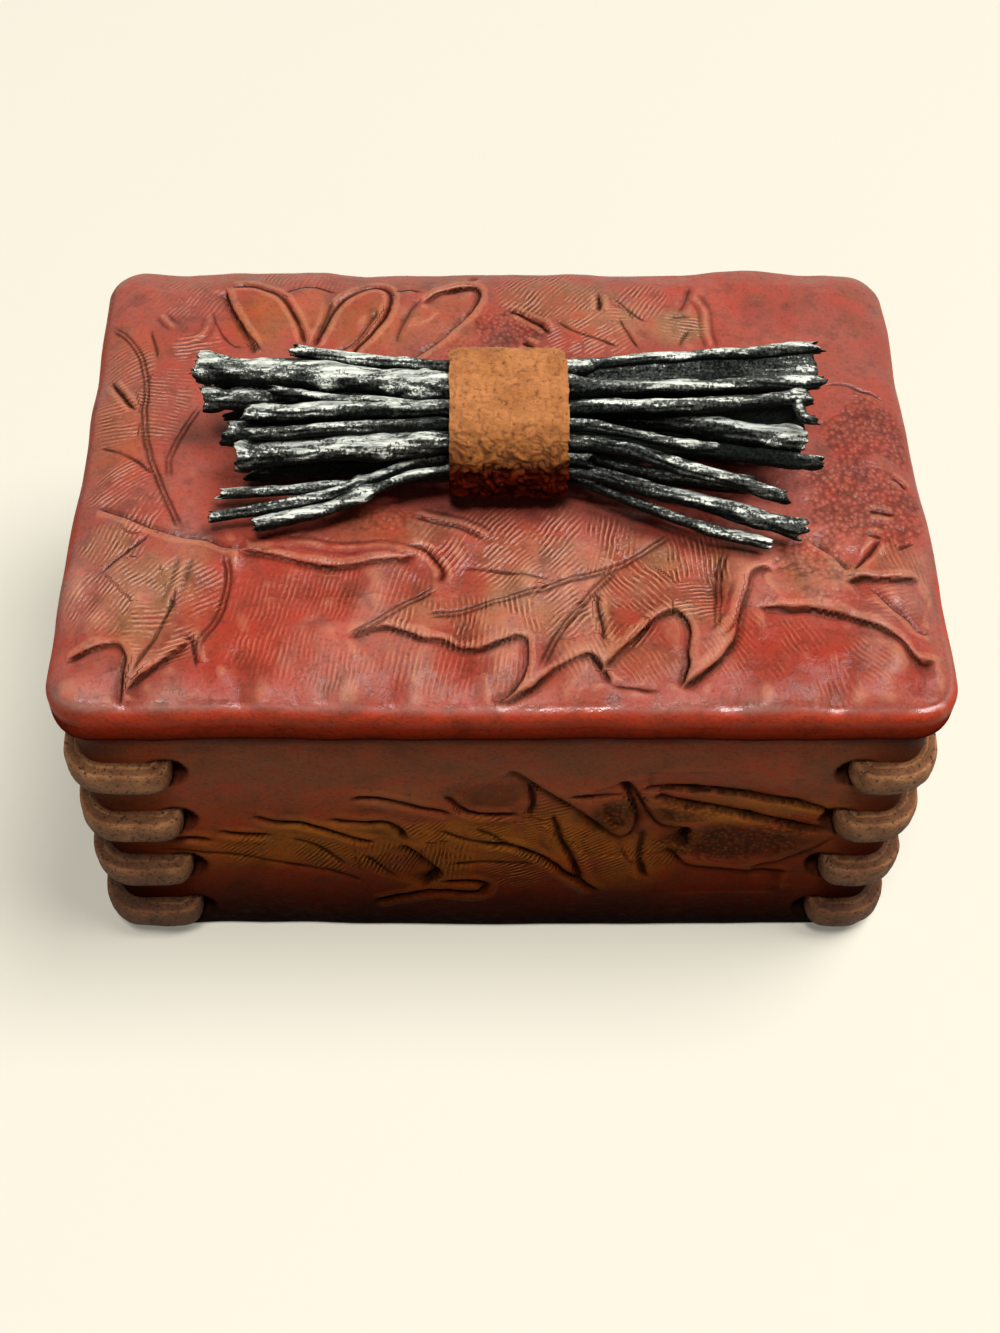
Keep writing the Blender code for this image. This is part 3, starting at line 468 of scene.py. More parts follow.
# Stubs that stand off a twig: the twig, points in pixels at its height and the radius in mm
TWIG_STUBS = (
    (3, ((798, 396), (799, 408), (805, 418), (822, 421)), 0.80),
    (2, ((212, 368), (198, 372), (187, 374)), 0.75),
    (9, ((262, 394), (256, 388), (253, 381)), 0.70),
    (2, ((330, 366), (336, 358), (341, 352)), 0.55),
)

# The split log: the two twigs that are its edges, how little silver it takes, how far its edges move
# apart and up and get thinner, how far its hollow hangs and how thick it is
LOG_EDGES = (1, 2)
LOG_PROUD = -0.7
LOG_FADE = 4
LOG_SPREAD = 0.40
LOG_LIFT = 0.30
LOG_THINNING = 0.45
LOG_SAG = 1.0 * MM
LOG_SKIN = 0.45 * MM
LOG_ACROSS = 14

# A dark sheet of bark, as painted shade, that fills the gap between two more twigs
FILLED_EDGES = (3, 9)
FILLED_SHADE = -2.5

# How far from the band's middle the twigs begin to bend and over how many mm, how much less silver they
# take to the band's right, the painted shade near the band and where others hide them, and over how many mm
TWIG_BENDING = (7, 4)
RIGHT_DULLNESS = 0.09
NEAR_BAND_SHADE = 0.55
DULLNESS_REACH = 6
HIDDEN_TWIGS = range(10, 17)
HIDDEN_SHADE = 2.2


def smooth(value):
    """Eased 0 to 1."""
    part = np.clip(value, 0, 1)
    return part * part * (3 - 2 * part)


def ramp(value, start, reach):
    """0 up to a start and 1 from a reach past it, both in mm."""
    return smooth((value - start * MM) / (reach * MM))


def closeness(distance, reach):
    """1 at no distance and 0 from a reach in mm on."""
    return smooth(1 - distance / (reach * MM))


def noise(points, size, seed):
    """Smooth noise from -1 to 1 at points, with bumps about size mm across."""
    cell = np.asarray(points, float) / (size * MM)
    base = np.floor(cell).astype(np.int64)
    part = cell - base
    part = part * part * (3 - 2 * part)
    total = np.zeros(len(cell))
    for step in itertools.product((0, 1), repeat=cell.shape[1]):
        lattice = base + np.array(step)
        mixed = np.full(len(cell), seed * SEED_STEP + SEED_START, dtype=np.int64)
        for axis, prime in zip(range(cell.shape[1]), AXIS_PRIMES):
            mixed = mixed ^ (lattice[:, axis] * prime)
        mixed = mixed & FULL_RANGE
        for shift, factor in MIXING:
            mixed = ((mixed ^ (mixed >> shift)) * factor) & FULL_RANGE
        value = ((mixed >> 8) & HALF_RANGE) / (HALF_RANGE / 2) - 1
        weight = np.prod(np.where(np.array(step) == 1, part, 1 - part), axis=1)
        total += weight * value
    return total


def layered(points, size, seed):
    """Noise with two finer layers on top, from about -1 to 1."""
    return sum(noise(points, size / 2 ** layer, seed + layer) / 2 ** layer for layer in range(3)) / 1.6


def rough(points, layers, base=0):
    """A base with layers of noise added, each with its height and its size in mm and its seed."""
    return sum((high * MM * noise(points, size, seed) for high, size, seed in layers), base)


def photo_ray(u, v):
    """The direction in which the camera sees a pixel."""
    across = (u - PRINCIPAL[0]) / FOCAL_PIXELS
    up = (PRINCIPAL[1] - v) / FOCAL_PIXELS
    forward = np.array([0, math.cos(PITCH), -math.sin(PITCH)])
    return forward + np.array([across, 0, 0]) + up * np.array([0, math.sin(PITCH), math.cos(PITCH)])


def at_level(pixel, level):
    """The place at a height, in plan, that a pixel shows."""
    ray = photo_ray(*pixel)
    return (np.array(CAMERA) + ray * (level - CAMERA[2]) / ray[2])[:2]


def on_lid(pixel):
    return at_level(pixel, LID_TOP)


def on_front(pixel):
    """The place on the front wall, across and up, that a pixel shows."""
    ray = photo_ray(*pixel)
    place = np.array(CAMERA) + ray * (BODY_LOW[1] - CAMERA[1]) / ray[1]
    return np.array([place[0], place[2]])


def smooth_line(points, step=0.4 * MM):
    """A smooth line through points, as evenly spaced ones."""
    points = np.array(points)
    ends = np.vstack([2 * points[0] - points[1], points, 2 * points[-1] - points[-2]])
    places = []
    for i in range(1, len(ends) - 2):
        before, start, end, after = ends[i - 1:i + 3]
        count = max(int(np.linalg.norm(end - start) / step), 2)
        for t in np.arange(count) / count:
            places.append(0.5 * (
                2 * start + (end - before) * t
                + (2 * before - 5 * start + 4 * end - after) * t ** 2
                + (3 * start - before - 3 * end + after) * t ** 3
            ))
    places.append(points[-1])
    return np.array(places)


def nearest(places, line):
    """Distance to a line, the side on which it lies (1 is the line's left) and the way along it."""
    start, run = line[:-1], np.diff(line, axis=0)
    length = np.linalg.norm(run, axis=1)
    along = np.concatenate([[0], np.cumsum(length)])
    away = places[:, None, :] - start[None]
    part = np.clip((away * run).sum(2) / length ** 2, 0, 1)
    gap = away - part[..., None] * run
    far = np.linalg.norm(gap, axis=2)
    best = far.argmin(axis=1)
    rows = np.arange(len(places))
    turn = run[best, 0] * away[rows, best, 1] - run[best, 1] * away[rows, best, 0]
    way = along[best] + part[rows, best] * length[best]
    return far[rows, best], np.sign(turn), way, along[-1]


def groove(distance, width):
    return np.exp(-(distance / width) ** 2)


def bumps(far, terms):
    return sum(strong * groove(far - away * MM, wide * MM) for strong, away, wide in terms)


def fading(far, strong, reach):
    return strong * np.exp(-far / (reach * MM))


def stroke_profile(kind, pressed, far, side):
    """Height in metres, and its soft dark wash and painted shade, at a distance from a stroke."""
    heights, washes = PROFILES[kind]
    height, wash = MM * bumps(far, heights), bumps(far, washes)
    if kind == "edge":
        low = side == pressed
        shoulder = (1 - fading(far, 1, EDGE_SHOULDER_FOOT)) * fading(far, *EDGE_SHOULDER)
        height = height + MM * np.where(low, fading(far, *EDGE_FALL), shoulder)
        # Painted shade on the pressed side of an edge
        wash = np.maximum(wash, np.where(low, fading(far, *EDGE_SHADE), 0))
    return height, wash


def carve(places, strokes, locate, facing, breadth):
    """Height and dark wash with painted shade of all strokes at places, then how far off the nearest fine
    line is and how strong. Facing is -1 where the pixels' plane is seen mirrored, and breadth widens the
    grooves."""
    height, wash, share = (np.zeros(len(places)) for _ in range(3))
    line_away = np.full(len(places), LINE_REACH)
    for number, (kind, pressed, pixels) in enumerate(strokes):
        line = smooth_line([locate(pixel) for pixel in pixels])
        line += 0.08 * MM * np.column_stack([noise(line, 1.4, seed) for seed in (number, number + 90)])
        low, high = line.min(0) - STROKE_REACH, line.max(0) + STROKE_REACH
        near = np.flatnonzero(((places > low) & (places < high)).all(axis=1))
        if not len(near):
            continue
        far, side, way, length = nearest(places[near], line)
        ends = smooth(np.minimum(way, length - way) / min(STROKE_TAPER, length / 3) + 0.12)
        ends = ends * (0.85 + 0.25 * noise(places[near], 2.5, number + 7))
        rise, dark = stroke_profile(kind, pressed * facing, far / breadth, side)
        strong = np.abs(rise) * ends > np.abs(height[near])
        height[near] = np.where(strong, rise * ends + 0.3 * height[near], height[near] + 0.3 * rise * ends)
        wash[near] = np.maximum(wash[near], dark * ends)
        away = far - RIB_HALF_WIDTH if kind == "rib" else far * side
        closer = np.abs(away) < np.abs(line_away[near])
        strength = LINE_STRENGTH[kind] * ends * smooth((LINE_FADE - np.abs(away)) / (0.35 * MM))
        line_away[near] = np.where(closer, away, line_away[near])
        share[near] = np.where(closer, strength, share[near])
    return height, wash, line_away / MM, share


def patch_share(places, middle, half_along, half_across, degrees=0.0):
    """1 in the middle of an oval patch, 0 at its rim and less past it. Its half sizes are in mm."""
    turn = math.radians(degrees)
    away = places - middle
    along = away[:, 0] * math.cos(turn) + away[:, 1] * math.sin(turn)
    across = -away[:, 0] * math.sin(turn) + away[:, 1] * math.cos(turn)
    return 1 - np.hypot(along / half_along, across / half_across) / MM


def hatch(places, hatches, locate, growth):
    """The phase and the strength of the fine hatching at places. Where two directions meet, both fade."""
    by_direction = {}
    wander = 0.16 * layered(places, 1.6, 35)
    for pixel, half_along, half_across, degrees, weight in hatches:
        share = patch_share(places, locate(pixel), half_along * growth, half_across * growth, degrees)
        by_direction.setdefault((degrees, weight), []).append(share + wander)
    strength, second, phase = (np.zeros(len(places)) for _ in range(3))
    bend = rough(places, HATCH_BEND)
    for (degrees, weight), shares in by_direction.items():
        turn = math.radians(degrees)
        own = weight * smooth(np.max(shares, axis=0) * 1.9)
        across = places[:, 1] * math.cos(turn) - places[:, 0] * math.sin(turn)
        wins = own > strength
        second = np.where(wins, strength, np.maximum(second, own))
        phase = np.where(wins, (across + bend) / HATCH_PITCH, phase)
        strength = np.maximum(strength, own)
    seam = smooth((strength - second) / 0.22)
    return phase, strength * seam * (0.72 + 0.40 * noise(places, 2.2, 33))


def crackle_share(places, crackles, locate):
    total = np.zeros(len(places))
    wander = 0.25 * noise(places, 2.5, 41)
    for pixel, half_x, half_y, strength in crackles:
        share = patch_share(places, locate(pixel), half_x, half_y)
        total = np.maximum(total, strength * smooth((share + wander) * 2.5))
    return total


def painted(paint, *layers):
    """Paint with layers over it, each a colour and how much of it covers."""
    for colour, share in layers:
        paint = paint + (np.array(colour) - paint) * np.clip(share, 0, 1)[:, None]
    return paint


def plain_paint(colour, count):
    return np.tile(np.array(colour), (count, 1))


def tint(paint, places, tints, locate):
    wander = 0.30 * layered(places, 3.0, 51)
    for pixel, half_x, half_y, colour, strength in tints:
        share = patch_share(places, locate(pixel), half_x, half_y)
        share = smooth((share + wander) * 1.6 + 0.25 * (share > -0.2))
        paint = painted(paint, (colour, strength * share))
    return paint


def worn_share(height, rows, columns):
    """How far each place of a grid stands above its surroundings, from -1 in hollows to 1 on crests."""
    grid = height.reshape(rows, columns)
    around = grid
    for axis in (0, 1):
        around = sum(np.roll(around, step, axis) for step in range(-WEAR_REACH, WEAR_REACH + 1))
        around = around / (2 * WEAR_REACH + 1)
    return np.clip((grid - around).ravel() / (0.10 * MM), -1, 1)


# Mesh making

def placed(name, data):
    """A new object in the scene."""
    thing = bpy.data.objects.new(name, data)
    bpy.context.scene.collection.objects.link(thing)
    return thing


def mesh_piece(name, points, faces, attributes):
    mesh = bpy.data.meshes.new(name)
    mesh.from_pydata([tuple(point) for point in points], [], faces)
    for label, values in attributes:
        values = np.asarray(values, np.float32)
        if values.ndim == 2:
            layer = mesh.attributes.new(label, "FLOAT_COLOR", "POINT")
            full = np.ones((len(values), 4), np.float32)
            full[:, :3] = values
            layer.data.foreach_set("color", full.ravel())
        else:
            layer = mesh.attributes.new(label, "FLOAT", "POINT")
            layer.data.foreach_set("value", values)
    shape = bmesh.new()
    shape.from_mesh(mesh)
    bmesh.ops.recalc_face_normals(shape, faces=shape.faces)
    shape.to_mesh(mesh)
    shape.free()
    mesh.shade_smooth()
    return placed(name, mesh)


def dress(piece, material, body, slot, *nodes):
    """Gives a piece its finish and its body and hides the CAD nodes that it stands for. Its slot is not used.
    """
    piece.data.materials.clear()
    piece.data.materials.append(material)
    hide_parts(*nodes)
    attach(piece, body)


def ring_numbers(count, size, start=0):
    """The point numbers of rings of one size that follow each other."""
    return [list(range(start + i * size, start + (i + 1) * size)) for i in range(count)]


def skin(rings):
    """Quads between rings of point numbers, each with the next."""
    faces = []
    for one, two in zip(rings, rings[1:]):
        after = [(i + 1) % len(one) for i in range(len(one))]
        faces += [(one[i], one[j], two[j], two[i]) for i, j in enumerate(after)]
    return faces


def resin_values(paint, last_paint, **values):
    """What the resin's finish reads: paint, and values that are 0 on the plain points that come last."""
    plain = np.zeros(len(last_paint))
    rows = [(label, np.concatenate([own, plain])) for label, own in values.items()]
    return [("paint", np.vstack([paint, last_paint]))] + rows


def quarter_turn(steps):
    """The angles that end each of some even steps of a quarter turn."""
    return np.arange(1, steps + 1) / steps * math.pi / 2


def cad_points(node):
    return np.array([tuple(vertex.co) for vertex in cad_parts[node].data.vertices])


# Lid

def eased_places(half, rounding):
    """Places from one edge of the lid to the other, closer together where the edge turns over."""
    angles = np.linspace(0, math.pi / 2, 8)[:-1]
    edge = rounding * (1 - np.cos(angles))
    inner = half - rounding
    middle = np.linspace(-inner, inner, int(2 * inner / LID_GRID) + 1)
    return np.concatenate([-half + edge, middle, (half - edge)[::-1]])


def lid_plan():
    """A grid over the lid, bent into its round corners: places, distances in from the edge, directions out
    and the grid's columns and rows."""
    xs, ys = eased_places(LID_WIDTH / 2, LID_TOP_ROUND), eased_places(LID_DEPTH / 2, LID_TOP_ROUND)
    grid_x, grid_y = (axis.ravel() for axis in np.meshgrid(xs, ys))
    inner_x, inner_y = LID_WIDTH / 2 - LID_CORNER, LID_DEPTH / 2 - LID_CORNER
    past_x, past_y = np.abs(grid_x) - inner_x, np.abs(grid_y) - inner_y
    corner = (past_x > 0) & (past_y > 0)
    a, b = past_x / LID_CORNER, past_y / LID_CORNER
    round_x = np.where(corner, a * np.sqrt(np.clip(1 - b * b / 2, 0, 1)), a) * LID_CORNER
    round_y = np.where(corner, b * np.sqrt(np.clip(1 - a * a / 2, 0, 1)), b) * LID_CORNER
    places = np.column_stack([
        np.sign(grid_x) * (inner_x + round_x),
        np.sign(grid_y) * (inner_y + round_y),
    ])
    reach = np.hypot(round_x, round_y)
    inside = np.where(corner, LID_CORNER - reach, LID_CORNER - np.maximum(past_x, past_y))
    out_x = np.where(corner, round_x / np.maximum(reach, 1e-9), (past_x >= past_y) * 1.0)
    out_y = np.where(corner, round_y / np.maximum(reach, 1e-9), (past_x < past_y) * 1.0)
    out = np.column_stack([out_x * np.sign(grid_x), out_y * np.sign(grid_y)])
    return places, inside, out, len(xs), len(ys)


def lid_relief(places, inside):
    """The lid's height above its plain shape, and its dark wash with painted shade."""
    height, wash, line, share = carve(places, LID_STROKES, on_lid, 1, 1.0)
    lumps = rough(places * LUMP_SQUEEZE, LID_LUMPS) * ramp(-places[:, 1], *FRONT_LUMPS)
    rim = closeness(inside, KNOCK_REACH) * ramp(-places[:, 1], *FRONT_KNOCKS)
    knocks = rough(places * KNOCK_SQUEEZE, LID_KNOCKS) * rim
    dent = smooth(1.6 * patch_share(places, on_lid(LID_DENT[0]), *LID_DENT[1:]))
    height = height + rough(places, LID_ROLL) + lumps + knocks - LID_DENT_DEPTH * dent
    return height - LID_SINK, wash, line, share


def lid_paint(places, inside, steep):
    """The lid's colours at its places, with painted shade between its front lumps and painted highlights on
    their tops and along its front ridge. Steep is 1 on its sides.
    """
    paint = painted(
        plain_paint(RED, len(places)),
        (BRIGHT_RED, 0.30 * smooth(0.5 + layered(places, 9, 61))),
        (DUSKY_RED, 0.55 * smooth(1.6 * layered(places, 6, 71))),
    )
    frontness = ramp(-places[:, 1], *FRONT_PAINT)
    lumps = noise(places * LUMP_SQUEEZE, *LID_LUMPS[0][1:]) + 0.5 * layered(places, 3, 62)
    ridge = groove(inside - RIDGE_PLACE, RIDGE_WIDTH) * frontness * smooth(0.75 + layered(places, 5, 63))
    return painted(
        tint(paint, places, LID_TINTS, on_lid),
        # Painted shade between the front lumps and painted highlights on their tops
        (DEEP_RED_SHADE, (0.25 + 0.40 * frontness) * smooth(-1.7 * lumps)),
        (ROSE_HIGHLIGHT, (0.10 + 0.42 * frontness) * smooth(1.7 * lumps) * (1 - steep)),
        (DUSKY_RED, 0.25 * closeness(inside, DUSK_REACH) * (1 - steep)),
        # Painted highlight along the front ridge
        (ROSE_HIGHLIGHT, 0.34 * ridge * (1 - steep)),
        (SIDE_RED, 0.90 * steep),
    )


def lid_sheen(places, out, lean, crackle):
    """How shiny the lid is: less towards the front and on its left and back rims, more on its front ridge."""
    frontness = ramp(-places[:, 1], *FRONT_SHEEN)
    sheen = 1 - 0.68 * frontness + 3.2 * frontness * groove(lean - SHEEN_LEAN, SHEEN_WIDTH)
    turned = smooth(2.5 * lean) * np.clip(out[:, 1] - out[:, 0], 0, 1)
    return sheen * (1 - 0.60 * crackle) * (1 - 0.85 * turned)


def lid_underside(border, out):
    """Rings of points from the lid's edge down to its plug's end, and how dark each one's painted shade is.
    """
    edge, level = border[:, :2], border[:, 2]
    low, plug_low = LID_SEAT + LID_UNDER_ROUND, LID_LOW[2]
    rings = [(edge, level + (low - level) * step / 3, 0.25 * step) for step in (1, 2, 3)]
    for angle in quarter_turn(5):
        inset = LID_UNDER_ROUND * (1 - math.cos(angle))
        rings.append((edge - out * inset, low - LID_UNDER_ROUND * math.sin(angle), 1.0))
    plug = edge * (1 - 2 * (PLUG_INSET + PLUG_EASE) / np.array([LID_WIDTH, LID_DEPTH]))
    bends = ((0.4, LID_SEAT), (0, LID_SEAT - 0.4 * MM), (0, plug_low + 0.6 * MM), (-0.6, plug_low))
    rings += [(plug + out * grow * MM, height, 1.0) for grow, height in bends]
    points = [np.column_stack([plan, np.broadcast_to(height, len(plan))]) for plan, height, _ in rings]
    return points, np.repeat([share for _, _, share in rings], len(border))


def make_lid(material):
    places, inside, out, columns, rows = lid_plan()
    sink = np.clip(LID_TOP_ROUND - inside, 0, LID_TOP_ROUND)
    lean = sink / LID_TOP_ROUND
    steep = smooth((lean - 0.40) / 0.4)
    fall = LID_FALL * np.clip(1 - inside / LID_FALL_REACH, 0, 1) ** LID_FALL_POWER
    fall = fall * (1 + 0.30 * noise(places, 8, 10))
    level = LID_TOP - fall - LID_TOP_ROUND + np.sqrt(LID_TOP_ROUND ** 2 - sink ** 2)
    relief, wash, line, line_share = lid_relief(places, inside)
    fade = 0.9 * ramp(inside, 0, FADE_IN["relief"]) + 0.1
    wave = rough(places, LID_WAVE, 0.40 * MM) * closeness(inside, WAVE_REACH)
    points = np.column_stack([
        places + out * (relief * lean * fade - wave)[:, None],
        level + relief * np.sqrt(1 - lean ** 2) * fade,
    ])
    phase, strength = hatch(places, LID_HATCHES, on_lid, LID_HATCH_GROWTH)
    crackle = crackle_share(places, LID_CRACKLES, on_lid) * ramp(inside, 0, FADE_IN["crackle"])
    index = np.arange(columns * rows).reshape(rows, columns)
    corners = (index[:-1, :-1], index[:-1, 1:], index[1:, 1:], index[1:, :-1])
    faces = np.column_stack([corner.ravel() for corner in corners]).tolist()
    border = np.concatenate([index[0, :-1], index[:-1, -1], index[-1, :0:-1], index[:0:-1, 0]])
    low_points, low_share = lid_underside(points[border], out[border])
    numbers = [border.tolist()] + ring_numbers(len(low_points), len(border), len(points))
    values = resin_values(
        lid_paint(places, inside, steep),
        # Painted shade, darkening down the lid's underside
        painted(plain_paint(SIDE_RED, len(low_share)), (UNDERSIDE_SHADE, low_share)),
        wash=wash, phase=phase, hatch=strength * ramp(inside, 0, FADE_IN["hatch"]), crackle=crackle,
        worn=worn_share(relief, rows, columns) * ramp(inside, 0, FADE_IN["worn"]), line=line,
        line_share=line_share * ramp(inside, 0, FADE_IN["line"]),
        sheen=lid_sheen(places, out, lean, crackle),
    )
    faces += skin(numbers) + [numbers[-1]]
    piece = mesh_piece("lid_tooled", np.vstack([points] + low_points), faces, values)
    dress(piece, material, "lid", "lid_resin", "lid")


# Body

def outline_points(width, depth, corner, count):
    """Evenly spaced points round a rounded rectangle, anticlockwise from the middle of the front: places,
    outward directions, the wall (0 front, 1 right, 2 back, 3 left) and the way along it from its middle."""
    sizes = (width, depth, width, depth)
    straights = [size - 2 * corner for size in sizes]
    arc = corner * math.pi / 2
    total = sum(straights) + 4 * arc
    rows = []
    for i in range(count):
        way = i / count * total + straights[0] / 2
        wall = 0
        while way >= straights[wall % 4] + arc:
            way -= straights[wall % 4] + arc
            wall += 1
        wall %= 4
        straight, after = straights[wall], (wall + 1) % 4
        turn = wall * math.pi / 2
        run = np.array([math.cos(turn), math.sin(turn)])
        out = np.array([math.sin(turn), -math.cos(turn)])
        half = sizes[after] / 2
        if way <= straight:
            rows.append((run * (way - straight / 2) + out * half, out, wall, way - straight / 2))
            continue
        angle = (way - straight) / corner
        direction = out * math.cos(angle) + run * math.sin(angle)
        place = run * straight / 2 + out * (half - corner) + direction * corner
        if angle > math.pi / 4:
            rows.append((place, direction, after, way - straight - arc - straights[after] / 2))
        else:
            rows.append((place, direction, wall, way - straight / 2))
    return [np.array(column) for column in zip(*rows)]


def wall_view(wall, way):
    """Where a place of a wall lies in the front's carving, which the others carry mirrored or shifted."""
    return np.select([wall == 0, wall == 1, wall == 2], [way, way + RIGHT_SHIFT, -way], -way - LEFT_SHIFT)


def hole_share(places, height):
    """1 in the lacing holes and 0 on the walls, from where the loops' legs are."""
    share = np.full(len(places), -1.0)
    on_long, on_short = (
        [np.abs(places[:, axis] - side * size / 2) < 0.5 * MM for side in (-1, 1)]
        for axis, size in ((1, BODY_DEPTH), (0, BODY_WIDTH))
    )
    for corner, side_x, side_y in LACE_CORNERS:
        for row in range(1, 5):
            low, high = (np.array(point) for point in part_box(f"lace_{corner}_{row}"))
            up = (height - (low[2] + high[2]) / 2) / HOLE_HALF_HEIGHT
            for axis, side, wall in ((0, side_x, on_long[side_y > 0]), (1, side_y, on_short[side_x > 0])):
                leg = high[axis] - LACE_LEG if side < 0 else low[axis] + LACE_LEG
                own = 1 - np.hypot((places[:, axis] - leg) / HOLE_HALF_WIDTH, up)
                share = np.where(wall, np.maximum(share, own), share)
    return share


def wall_paint(view, solid, height, from_corner):
    """The walls' colours at their places, seen as in the front's carving and as they are."""
    ground = plain_paint(WALL_TOP, len(view))
    paint = painted(ground, (BROWN, 0.5 * smooth(0.3 + layered(solid, 8, 21))))
    paint = tint(paint, view, WALL_TINTS, on_front)
    # Painted shade: darker towards the foot and near the corners, and under the lid below the rim
    shades = [(height, shade) for shade in FOOT_SHADES] + [(from_corner, CORNER_SHADE)]
    for distance, (start, reach, taken) in shades:
        paint = paint * (1 - smooth(start - distance / (reach * MM))[:, None] * np.array(taken))
    return painted(paint, (UNDERSIDE_SHADE, 0.8 * ramp(height - BODY_HEIGHT, *RIM_SHADE)))


def inner_rings(count):
    """Rings of points from the rim down the inside of the walls and round to the floor."""
    inner, out, _, _ = outline_points(BODY_WIDTH - 2 * WALL, BODY_DEPTH - 2 * WALL, INNER_CORNER, count)
    floor = BODY_LOW[2] + WALL
    bend = floor + FLOOR_ROUND
    rings = [(inner + out * RIM_INNER_ROUND, BODY_HEIGHT), (inner, BODY_HEIGHT - RIM_INNER_ROUND)]
    rings += [(inner, bend + (BODY_HEIGHT - floor) * 0.5), (inner, bend)]
    for angle in quarter_turn(4):
        inset = FLOOR_ROUND * (1 - math.cos(angle))
        rings.append((inner - out * inset, bend - FLOOR_ROUND * math.sin(angle)))
    return [np.column_stack([place, np.full(count, level)]) for place, level in rings]


def make_body(material):
    count = int(2 * (BODY_WIDTH + BODY_DEPTH) / WALL_GRID)
    places, outs, walls, ways = outline_points(BODY_WIDTH, BODY_DEPTH, BODY_CORNER, count)
    straight_top = BODY_HEIGHT - RIM_ROUND
    heights = np.concatenate([
        FOOT_ROUND * (1 - np.sin(np.linspace(math.pi / 2, 0, 4)[:-1])),
        np.linspace(FOOT_ROUND, straight_top, int((straight_top - FOOT_ROUND) / WALL_GRID)),
        BODY_HEIGHT - RIM_ROUND * (1 - np.sin(quarter_turn(5))),
    ])
    rows = len(heights)
    plan, out = np.tile(places, (rows, 1)), np.tile(outs, (rows, 1))
    wall, way = np.tile(walls, rows), np.tile(ways, rows)
    height = np.repeat(heights, count)
    foot = np.clip(FOOT_ROUND - height, 0, FOOT_ROUND)
    rim = np.clip(height - straight_top, 0, RIM_ROUND)
    inset = FOOT_ROUND - np.sqrt(FOOT_ROUND ** 2 - foot ** 2) + RIM_ROUND - np.sqrt(RIM_ROUND ** 2 - rim ** 2)
    view = np.column_stack([wall_view(wall, way), height])
    solid = np.column_stack([plan, height])
    relief, wash, line, line_share = carve(view, WALL_STROKES, on_front, -1, WALL_BREADTH)
    phase, strength = hatch(view, WALL_HATCHES, on_front, WALL_HATCH_GROWTH)
    from_corner = np.where(wall % 2 == 0, BODY_WIDTH, BODY_DEPTH) / 2 - np.abs(way)
    carved = ramp(from_corner - BODY_CORNER, *CORNER_FADE) * ramp(BODY_HEIGHT - height, *RIM_FADE)
    relief = (relief * carved + rough(solid, WALL_ROLL)) * WALL_DEPTH
    worn = worn_share(relief, rows, count) * carved
    hole = hole_share(plan, height)
    relief = np.minimum(relief - WALL_SINK, 0) - HOLE_DEPTH * smooth((hole + HOLE_EDGE) / HOLE_SLOPE)
    points = np.column_stack([plan + out * (relief - inset)[:, None], height])
    # Painted shade in and round the lacing holes, laid with the wash
    hole_painted_shade = smooth((hole + HOLE_SHADE) / HOLE_SHADE_SLOPE)
    inside = inner_rings(count)
    rings = ring_numbers(rows + len(inside), count)
    faces = skin(rings) + [rings[0][::-1], rings[-1]]
    values = resin_values(
        wall_paint(view, solid, height, from_corner), plain_paint(DUSKY_RED, len(inside) * count),
        wash=np.maximum(wash * carved, hole_painted_shade), phase=phase, hatch=strength * carved,
        crackle=crackle_share(view, WALL_CRACKLES, on_front) * carved, worn=worn, line=line,
        line_share=line_share * carved, sheen=0.25 + ramp(height, *FOOT_FADE),
    )
    piece = mesh_piece("body_tooled", np.vstack([points] + inside), faces, values)
    dress(piece, material, "box", "body_resin", "box_body")


# Laces and band

def refined(node, name, levels, move):
    """A finer copy of a CAD node, its points moved by a function of their places and outward directions."""
    copy = placed(name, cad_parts[node].data.copy())
    shape = bmesh.new()
    shape.from_mesh(copy.data)
    bmesh.ops.remove_doubles(shape, verts=shape.verts, dist=1e-6)
    bmesh.ops.dissolve_limit(shape, angle_limit=math.radians(0.5), verts=shape.verts, edges=shape.edges)
    shape.to_mesh(copy.data)
    shape.free()
    finer = copy.modifiers.new("finer", "SUBSURF")
    finer.levels = finer.render_levels = levels
    bpy.context.view_layer.update()
    evaluated = copy.evaluated_get(bpy.context.evaluated_depsgraph_get())
    mesh = bpy.data.meshes.new_from_object(evaluated)
    bpy.data.objects.remove(copy, do_unlink=True)
    points = np.empty(len(mesh.vertices) * 3)
    mesh.vertices.foreach_get("co", points)
    points = points.reshape(-1, 3)
    normals = np.empty(len(mesh.vertices) * 3, np.float32)
    mesh.vertex_normals.foreach_get("vector", normals)
    points = move(points, normals.reshape(-1, 3).astype(float))
    mesh.vertices.foreach_set("co", points.ravel())
    mesh.update()
    mesh.shade_smooth()
    return placed(name, mesh)


def worn_leather(points, normals):
    pits = np.clip(layered(points, 1.1, 81), -1, 0.35)
    return points + normals * (LACE_WEAR * (pits + noise(points, 3, 85) - 1))[:, None]


def turns_right(first, second, third):
    return np.cross(np.subtract(second, first), np.subtract(third, second)) <= 0


def hull(points):
    """The convex outline round flat points, anticlockwise."""
    ordered = sorted(map(tuple, points))
    halves = []
    for way in (ordered, ordered[::-1]):
        half = []
        for point in way:
            while len(half) > 1 and turns_right(half[-2], half[-1], point):
                half.pop()
            half.append(point)
        halves += half[:-1]
    return np.array(halves)


def even_loop(points, count):
    """A closed line as evenly spaced points, with its corners eased."""
    closed = np.vstack([points, points[:1]])
    way = np.concatenate([[0], np.cumsum(np.linalg.norm(np.diff(closed, axis=0), axis=1))])
    places = np.arange(count) / count * way[-1]
    loop = np.column_stack([np.interp(places, way, closed[:, axis]) for axis in (0, 1)])
    for _ in range(BAND_EASING):
        loop = (np.roll(loop, 1, axis=0) + 2 * loop + np.roll(loop, -1, axis=0)) / 4
    return loop


